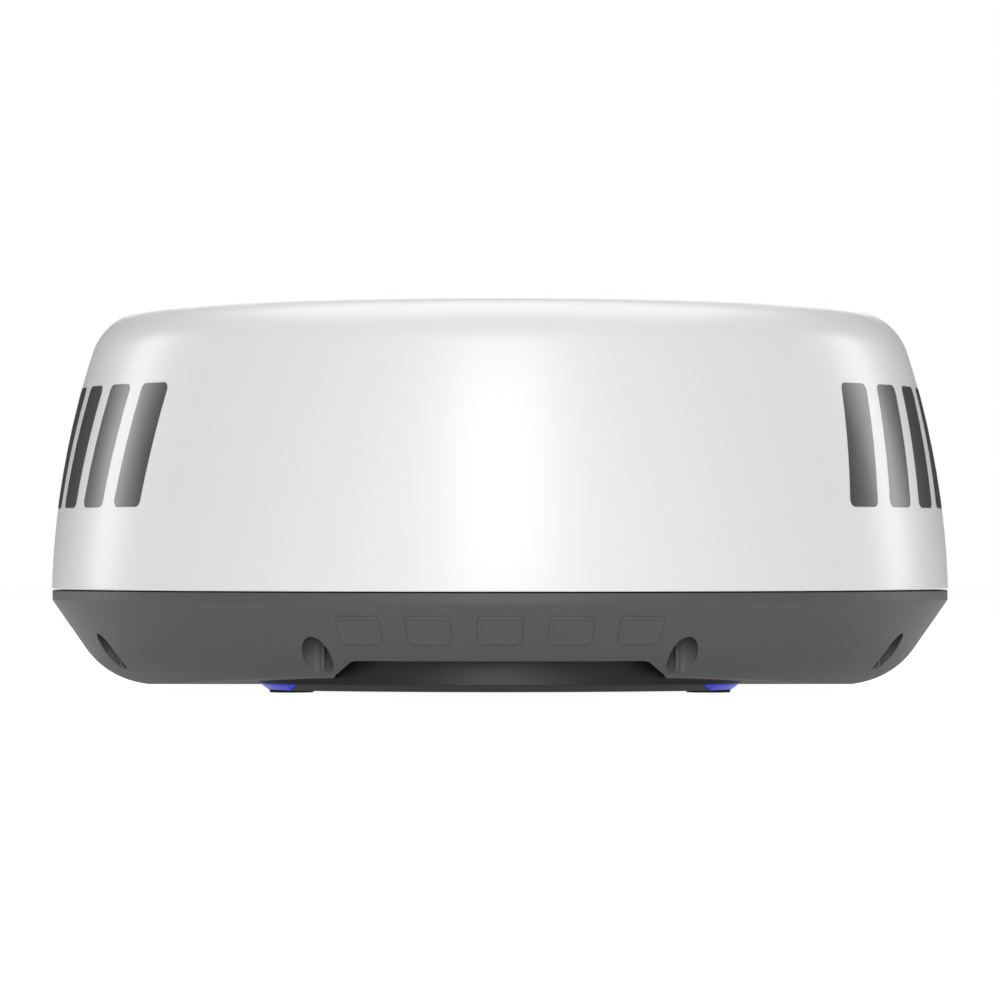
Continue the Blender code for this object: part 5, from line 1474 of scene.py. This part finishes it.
def toothed(shell, teeth, radius, depth, place=(0.0, 0.0)):
    """Cuts teeth into the band of a turned shell that lies at a radius: a soft square wave."""
    points, faces = shell
    away = points[:, :2] - place
    distance, angle = np.hypot(*away.T), np.arctan2(away[:, 1], away[:, 0])
    wave = 0.5 + 0.5 * np.tanh(3.0 * np.cos(teeth * angle))
    on_band = np.abs(distance - radius) < 0.02 * MM
    cut = 1 - on_band * depth * wave / distance
    points[:, :2] = place + away * cut[:, None]
    return points, faces


def make_driven_pulley():
    """A hub, a web with radial ribs and a toothed rim, turned in one closed section."""
    low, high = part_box("driven_pulley")
    hub, bore, race = 21 * MM, 16.3 * MM, 14.85 * MM
    rim_in = DRIVEN_RADIUS - 5 * MM
    web = (BELT_LOW + BELT_HIGH) / 2
    rim_low, rim_high = BELT_LOW - 0.3 * MM, BELT_HIGH + 0.3 * MM
    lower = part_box("lower_bearing_outer")[1].z + 0.3 * MM
    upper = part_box("upper_bearing_outer")[0].z - 0.3 * MM
    corners = [
        (bore, high.z), (hub, high.z), (hub, web + 1.5 * MM), (rim_in, web + 1.5 * MM), (rim_in, rim_high),
        (DRIVEN_RADIUS, rim_high), (DRIVEN_RADIUS, rim_low), (rim_in, rim_low), (rim_in, web - 1.5 * MM),
        (hub, web - 1.5 * MM),
        (hub, low.z), (bore, low.z), (bore, lower), (race, lower), (race, upper), (bore, upper),
    ]
    body = toothed(turned(corners, 0.25 * MM, 720, steps=1), 120, DRIVEN_RADIUS, 0.8 * MM)
    ribs = []
    for turn in range(8):
        angle = TAU * turn / 8
        c, s = math.cos(angle), math.sin(angle)
        rib = plate(
            (hub - 0.5 * MM, -0.9 * MM, web + 1.2 * MM), (rim_in + 0.5 * MM, 0.9 * MM, rim_high - 0.6 * MM),
            0.2 * MM
        )
        ribs.append(placed(rib, [(c, -s, 0), (s, c, 0), (0, 0, 1)]))
    fine("driven_pulley", [body, *ribs], "black_plastic")
    low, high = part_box("index_magnet")
    x, y, r = (low.x + high.x) / 2, (low.y + high.y) / 2, (high.x - low.x) / 2
    fine(
        "index_magnet", [turned([(0, low.z), (r, low.z), (r, high.z), (0, high.z)], 0.2 * MM, 32, (x, y))],
        "stainless"
    )


def make_drive_pulley():
    low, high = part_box("drive_pulley")
    bore, edge = 2.8 * MM, (high.x - low.x) / 2
    belt_low, belt_high = BELT_LOW - 0.3 * MM, BELT_HIGH + 0.3 * MM
    corners = [
        (bore, high.z), (edge, high.z), (edge, belt_high), (DRIVE_RADIUS, belt_high),
        (DRIVE_RADIUS, belt_low),
        (edge, belt_low), (edge, low.z), (bore, low.z),
    ]
    shell = toothed(
        turned(corners, 0.2 * MM, 240, (0.0, MOTOR_Y), 2), 20, DRIVE_RADIUS, 0.8 * MM, (0.0, MOTOR_Y)
    )
    fine("drive_pulley", [shell], "black_plastic")
    low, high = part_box("motor_shaft")
    shell = turned(
        [(0, low.z), (2.5 * MM, low.z), (2.5 * MM, high.z), (0, high.z)], 0.4 * MM, 48, (0.0, MOTOR_Y)
    )
    fine("motor_shaft", [shell], "stainless")


def belt_line(count=840):
    """Points and outward directions round the belt: two arcs about the pulleys and the two straight
    runs that touch both, all spaced evenly."""
    lean = math.asin((DRIVEN_RADIUS - DRIVE_RADIUS) / MOTOR_Y)
    near = np.linspace(lean, math.pi - lean, 400)
    far = np.linspace(math.pi - lean, TAU + lean, 1600)
    angle = np.concatenate((near, far))
    centre = np.where(np.arange(2000) < 400, MOTOR_Y, 0.0)
    radius = np.where(np.arange(2000) < 400, DRIVE_RADIUS, DRIVEN_RADIUS)
    x, y = radius * np.cos(angle), centre + radius * np.sin(angle)
    x, y, angle = np.append(x, x[0]), np.append(y, y[0]), np.append(angle, angle[0] + TAU)
    along = np.concatenate(([0.0], np.cumsum(np.hypot(np.diff(x), np.diff(y)))))
    even = np.linspace(0, along[-1], count + 1)[:-1]
    turn = np.interp(even, along, angle)
    return np.interp(even, along, x), np.interp(even, along, y), turn


def make_belt():
    """The belt's section carried round its line. Its inner face steps in and out once a tooth."""
    teeth, per_tooth = 140, 6
    x, y, turn = belt_line(teeth * per_tooth)
    low, high = 0.3 * MM, 1.7 * MM
    tooth = low + 0.45 * MM * (np.arange(len(x)) % per_tooth >= per_tooth // 2)
    ease = 0.25 * MM
    lifts = np.stack(
        [
            tooth, tooth, np.full_like(x, high - ease), np.full_like(x, high), np.full_like(x, high),
            np.full_like(x, high - ease)
        ],
        1
    )
    z = np.array((BELT_HIGH, BELT_LOW, BELT_LOW, BELT_LOW + ease, BELT_HIGH - ease, BELT_HIGH))
    points = np.stack(
        (
            x[:, None] + lifts * np.cos(turn)[:, None], y[:, None] + lifts * np.sin(turn)[:, None],
            np.broadcast_to(z, lifts.shape)
        ),
        -1
    )
    fine("drive_belt", [grid(points, close_rows=True, close_columns=True)], "rubber_black")


def make_motor():
    """Two end caps on a stack of thin plates, whose edges step in and out, and a small boot on its face."""
    low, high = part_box("motor_body")
    half, cut = (high.x - low.x) / 2, 4 * MM
    octagon = [
        (half, cut - half), (half, half - cut), (half - cut, half), (cut - half, half), (-half, half - cut),
        (-half, cut - half), (cut - half, -half), (half - cut, -half)
    ]
    outline = distinct(rounded(octagon, 1 * MM, 3)) + (0.0, MOTOR_Y)
    stack_low, stack_high = low.z + 9 * MM, high.z - 9.5 * MM
    z = np.linspace(stack_low, stack_high, 73)
    step = np.where(np.arange(73) % 2, 0.18, 0.35) * MM
    rings = inset(outline, step)
    stack = grid(
        np.concatenate((rings, np.broadcast_to(z[:, None, None], rings.shape[:2] + (1,))), -1),
        close_columns=True, caps=True
    )
    caps = [
        tinted(slab(outline, low.z, stack_low, 0.8 * MM, 4), 1),
        tinted(slab(outline, stack_high, high.z, 0.8 * MM, 4), 1)
    ]
    boot = tinted(
        plate(
            (8 * MM, low.y - 0.25 * MM, low.z + 4.5 * MM), (16 * MM, low.y + 2 * MM, low.z + 10.5 * MM),
            0.4 * MM
        ),
        2
    )
    fine("motor_body", [stack, *caps, boot], "motor_steel", "motor_steel", "motor_cap", "nylon_white")


def make_motor_bracket():
    """A bent sheet: its section in x and z, with eased bends, drawn along y, and the shaft's hole."""
    low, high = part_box("motor_bracket")
    sheet = 2.5 * MM
    foot, leg = (high.x - low.x) / 2, (high.x - low.x) / 2 - 10 * MM
    a, b = low.z, high.z
    corners = [
        (foot, a), (foot, a + sheet), (leg, a + sheet), (leg, b), (-leg, b), (-leg, a + sheet),
        (-foot, a + sheet), (-foot, a),
        (sheet - leg, a), (sheet - leg, b - sheet), (leg - sheet, b - sheet), (leg - sheet, a),
    ]
    bends = np.array((0.6, 0.6, 1.5, 3.0, 3.0, 1.5, 0.6, 0.6, 3.0, 0.8, 0.8, 3.0)) * MM
    section = distinct(rounded(corners, bends, 4))
    depth = (high.y - low.y) / 2
    hole = slab(round_outline(0, MOTOR_Y, 5 * MM, 48), b - 8 * MM, b + 8 * MM, 0.1 * MM)
    bent = placed(slab(section, -depth, depth, 0.3 * MM), FORWARDS, (0, MOTOR_Y, 0))
    fine("motor_bracket", [bent], "cast_aluminium", steps=[("DIFFERENCE", [hole])])
    corners = [(sx, sy) for sx in (-1, 1) for sy in (-1, 1)]
    top = [pan_head(x * 15.5 * MM, MOTOR_Y + y * 15.5 * MM, b, 2.7 * MM, 0.9 * MM) for x, y in corners]
    foot_x, foot_y = leg + 5.6 * MM, 13 * MM
    feet = [pan_head(x * foot_x, MOTOR_Y + y * foot_y, a + sheet, 2.7 * MM, 1.6 * MM) for x, y in corners]
    extra("bracket_screws", "motor_bracket", top + feet, "stainless")


def make_index_sensor():
    low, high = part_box("index_sensor")
    x, y = (low.x + high.x) / 2, high.y - 4 * MM
    shells = [
        plate((x - 5 * MM, y - 1.5 * MM, low.z), (x + 5 * MM, y + 1.5 * MM, high.z - 1 * MM), 0.5 * MM),
        plate((x - 5 * MM, low.y, low.z), (x + 5 * MM, y + 1 * MM, low.z + 2.5 * MM), 0.8 * MM),
        plate(
            (x - 6 * MM, y - 4 * MM, high.z - 3 * MM), (x + 6 * MM, y + 4 * MM, high.z), 0.8 * MM, 0.4 * MM
        ),
        tinted(pan_head(x, low.y + 4.2 * MM, low.z + 2.5 * MM), 1),
    ]
    fine("index_sensor", shells, "black_plastic", "black_plastic", "stainless")


# ---------------------------------------------------------------- array

def make_tray():
    """A shallow pressed tray, open to the front: its outline runs forwards outside and back inside."""
    low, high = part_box("array_tray")
    wall, deep = 2 * MM, high.y - low.y
    outline = panel(low.x, low.z, high.x, high.z, 3 * MM, 4)
    corners = [(9 * MM, 0), (0, 0), (0, deep), (wall, deep), (wall, wall), (9 * MM, wall)]
    edge = rounded(corners, np.array((0, 1.0, 0.3, 0.3, 0.6, 0)) * MM + 1e-7, 3)
    edge = edge[edge[:, 0] < 9 * MM - 1e-6]
    rings = inset(outline, edge[:, 0])
    y = high.y - edge[:, 1]
    points = np.stack((rings[..., 0], np.broadcast_to(y[:, None], rings.shape[:2]), rings[..., 1]), -1)
    shells = [grid(points, close_columns=True, caps=True)]
    for z in (low.z + 14 * MM, high.z - 14 * MM):
        for side in (-1, 1):
            a, b = sorted((side * 52 * MM, side * 205 * MM))
            bead = slab(panel(a, z - 2.5 * MM, b, z + 2.5 * MM, 2.4 * MM, 4), -0.4 * MM, 0.9 * MM, 0.6 * MM)
            shells.append(placed(bead, MIRRORED, (0, high.y, 0)))
    fine("array_tray", shells, "cast_aluminium")


def make_array_board():
    """A board with rows of square radiating patches, each column joined by a thin upright track."""
    low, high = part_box("array_board")
    front = low.y
    outline = panel(low.x, low.z, high.x, high.z, 2 * MM, 3)
    shells = [placed(slab(outline, -high.y, -low.y, 0.15 * MM), FORWARDS)]
    rise, half, middle = 0.08 * MM, 4.3 * MM, (low.z + high.z) / 2
    columns = np.linspace(-0.47, 0.47, 30) * (high.x - low.x)
    rows = middle + np.array((-30, -10, 10, 30)) * MM

    def copper(left, right, bottom, top, tall, chamfer):
        block = boxed((left, bottom, -front), (right, top, -front + tall), chamfer)
        shells.append(tinted(placed(block, FORWARDS), 1))

    for x in columns:
        for z in rows:
            copper(x - half, x + half, z - half, z + half, rise, 0.03 * MM)
        copper(x - 0.5 * MM, x + 0.5 * MM, rows[0], rows[-1], rise / 2, 0.01 * MM)
    copper(columns[0], columns[-1], middle - 0.6 * MM, middle + 0.6 * MM, rise / 2, 0.01 * MM)
    fine("array_board", shells, "board_green", "board_green", "copper_gold")


def make_array_bracket():
    """A base plate, an upright plate and two triangular webs, joined, with the holes cut."""
    low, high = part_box("array_bracket")
    sheet, base_x = 3 * MM, 30 * MM
    face = low.y
    base = plate((-base_x, face, low.z), (base_x, high.y, low.z + sheet), 3 * MM, 0.4 * MM)
    upright = panel(low.x, low.z, high.x, high.z, 5 * MM, 5)
    upright = placed(slab(upright, -sheet - face, -face, 0.4 * MM), FORWARDS)
    webs = []
    for side in (-1, 1):
        corners = (face, low.z) + np.array([(1.5, 1.5), (41.5, 1.5), (41.5, 5), (5, 53.5), (1.5, 53.5)]) * MM
        web = slab(
            distinct(rounded(corners, np.array((0.5, 0.5, 1.5, 1.5, 0.5)) * MM, 3)), -1.5 * MM, 1.5 * MM,
            0.3 * MM
        )
        webs.append(placed(web, [(0, 0, 1), (1, 0, 0), (0, 1, 0)], (side * 21 * MM, 0, 0)))
    hole = slab(round_outline(0, 0, 12.6 * MM, 48), low.z - 10 * MM, low.z + 15 * MM, 0.1 * MM)
    lead_hole = slab(round_outline(0, FEED_HEIGHT, 6 * MM, 32), -face - 15 * MM, -face + 15 * MM, 0.1 * MM)
    steps = [
        ("UNION", [upright]), ("UNION", webs),
        ("DIFFERENCE", [hole]), ("DIFFERENCE", [placed(lead_hole, FORWARDS)]),
    ]
    fine("array_bracket", [base], "cast_aluminium", steps=steps)
    screws = []
    for x in (-37 * MM, 37 * MM):
        for z in (low.z + 14 * MM, high.z - 8 * MM):
            head = pan_head(0, 0, 0, 3.2 * MM, 2.1 * MM)
            screws.append(placed(head, MIRRORED, (x, face + sheet, z)))
    extra("array_screws", "array_bracket", screws, "stainless")


def make_rotor():
    low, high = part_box("rotary_joint_rotor")
    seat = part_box("array_bracket")[0].z + 3.3 * MM
    corners = [
        (0, high.z), (4 * MM, high.z), (4 * MM, seat + 2.5 * MM), (18 * MM, seat + 2.5 * MM),
        (18 * MM, seat),
        (7 * MM, seat), (7 * MM, low.z), (0, low.z),
    ]
    fine("rotary_joint_rotor", [turned(corners, 0.4 * MM, 72)], "brass")
    screws = heads(14.5 * MM, (30, 150, 270), seat + 2.5 * MM, 2.2 * MM, 1.5 * MM)
    extra("rotor_screws", "rotary_joint_rotor", screws, "stainless")


# ---------------------------------------------------------------- leads

def lead(node_name, points, radius, cuff):
    """A round lead carried along its route, with a soft collar over each end."""
    path = route(points, 8)
    section = arc((0, 0), radius, 0, TAU, 12)[:-1]
    shells = [carried(section, path)]
    collar = arc((0, 0), radius * 1.35, 0, TAU, 16)[:-1]
    if cuff:
        for end in (path[:5], path[-5:]):
            shells.append(tinted(carried(collar, end), 1))
    return fine(node_name, shells, "rubber_black", "rubber_black", "black_plastic")


def make_leads():
    """Routes are points chosen between the parts that they join."""
    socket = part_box("cable_socket_shell")
    start, socket_z = socket[0].y - 0.3 * MM, (socket[0].z + socket[1].z) / 2
    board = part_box("power_board")
    back, top = board[1].y, board[0].z + BOARD_THICK
    supply = [
        (0.0, start, socket_z), (0.0, start - 0.014, socket_z + 0.003), (0.015, start - 0.030, 0.022),
        (0.036, start - 0.050, 0.027), (0.052, start - 0.066, 0.032), (0.061, back, 0.034),
        (0.062, back - 0.0078, 0.0285), (0.062, back - 0.0078, top + 0.0056),
    ]
    lead("supply_lead", supply, 2.2 * MM, True)
    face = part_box("motor_body")[0].y - 0.3 * MM
    motor = [
        (0.012, face, 0.028), (0.014, face - 0.008, 0.028), (0.030, face - 0.013, 0.027),
        (0.050, face - 0.018, 0.028), (0.062, face - 0.021, 0.0265),
        (0.065, face - 0.022, top + 0.0075), (0.065, face - 0.022, top + 0.0048),
    ]
    lead("motor_lead", motor, 1.5 * MM, True)
    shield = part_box("transceiver_shield")[1].y + 0.3 * MM
    window = FLOOR + 9.5 * MM
    signal = [
        (0.0, shield, 0.026), (0.0, shield + 0.012, 0.024), (0.0, shield + 0.030, window),
        (0.0, -0.016, window), (0.0, -0.006, window), (0.0, -0.0012, window + 0.0012),
        (0.0, 0.0, window + 0.0046),
    ]
    lead("signal_lead", signal, 1.3 * MM, False)
    rotor_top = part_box("rotary_joint_rotor")[1].z
    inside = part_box("array_tray")[1].y + 0.6 * MM
    to_array = [
        (0.0, 0.0, rotor_top + 0.0003), (0.0, 0.0, rotor_top + 0.010), (0.0, -0.003, rotor_top + 0.020),
        (0.0, -0.010, FEED_HEIGHT - 0.0025), (0.0, -0.018, FEED_HEIGHT), (0.0, inside, FEED_HEIGHT),
    ]
    lead("feed_lead", to_array, 1.6 * MM, True)


# ---------------------------------------------------------------- light, floor and camera

def area_light(name, place, size, power):
    data = bpy.data.lights.new(name, "AREA")
    data.shape = "RECTANGLE"
    data.size, data.size_y = size
    data.energy = power
    lamp = bpy.data.objects.new(name, data)
    lamp.location = place
    lamp.rotation_euler = (Vector(AIM) - Vector(place)).to_track_quat("-Z", "Y").to_euler()
    bpy.context.scene.collection.objects.link(lamp)


def make_light():
    world = bpy.data.worlds.new("studio")
    bpy.context.scene.world = world
    world.use_nodes = True
    tree = world.node_tree
    lit = tree.nodes["Background"]
    fill(tree, lit, Color=grey(1.0), Strength=WORLD_LIGHT)
    seen = node(tree, "ShaderNodeBackground", Color=grey(1.0), Strength=1.0)
    path = node(tree, "ShaderNodeLightPath").outputs["Is Camera Ray"]
    mix = node(tree, "ShaderNodeMixShader", path, lit.outputs[0], seen.outputs[0])
    fill(tree, tree.nodes["World Output"], Surface=mix.outputs[0])
    for name, (place, size, power) in LAMPS.items():
        area_light(name, place, size, power)


def make_floor():
    """A wide flat pale sheet, lit a little from within so that it stays as white as the backdrop."""
    steps = np.linspace(-9.0, 9.0, 13)
    points = np.stack(np.broadcast_arrays(steps[None, :], steps[:, None], 0.0), -1)
    made, tree, shader = base_finish("floor_white", Roughness=0.9, Emission_Color=grey(1.0))
    cloud = effect(tree, "drift", Scale=0.8, Amount=1.0)["Value"]
    path = node(tree, "ShaderNodeLightPath").outputs["Is Camera Ray"]
    fill(
        tree, shader, Base_Color=between(tree, cloud, grey(0.60), grey(0.59)),
        Emission_Strength=level(tree, path, FLOOR_GLOW, FLOOR_SEEN),
    )
    floor = mesh_object("floor", [grid(points)], [made])


def make_camera():
    data = bpy.data.cameras.new("camera")
    data.lens = CAMERA_LENS
    data.clip_end = 60.0
    camera = bpy.data.objects.new("camera", data)
    bpy.context.scene.collection.objects.link(camera)
    seam = (DOME_BOTTOM + SKIRT_TOP) / 2
    place, aim = Vector((0.0, -CAMERA_AWAY, seam + CAMERA_RISE)), Vector((0.0, 0.0, seam + AIM_RISE))
    camera.location = place
    camera.rotation_euler = (aim - place).to_track_quat("-Z", "Y").to_euler()
    bpy.context.scene.camera = camera


# ---------------------------------------------------------------- make everything

make_camera()
make_light()
make_floor()
make_radome()
make_side_bars()
make_skirt()
make_slope_bars()
make_chassis()
make_lenses()
make_seal()
make_dome_screws()
make_pads_and_inserts()
make_socket()
make_breather()
make_light_boards()
make_boards()
make_shield()
make_spindle()
make_bearings()
make_driven_pulley()
make_drive_pulley()
make_belt()
make_motor()
make_motor_bracket()
make_index_sensor()
make_tray()
make_array_board()
make_array_bracket()
make_rotor()
make_leads()

bpy.context.scene.view_settings.view_transform = "Standard"
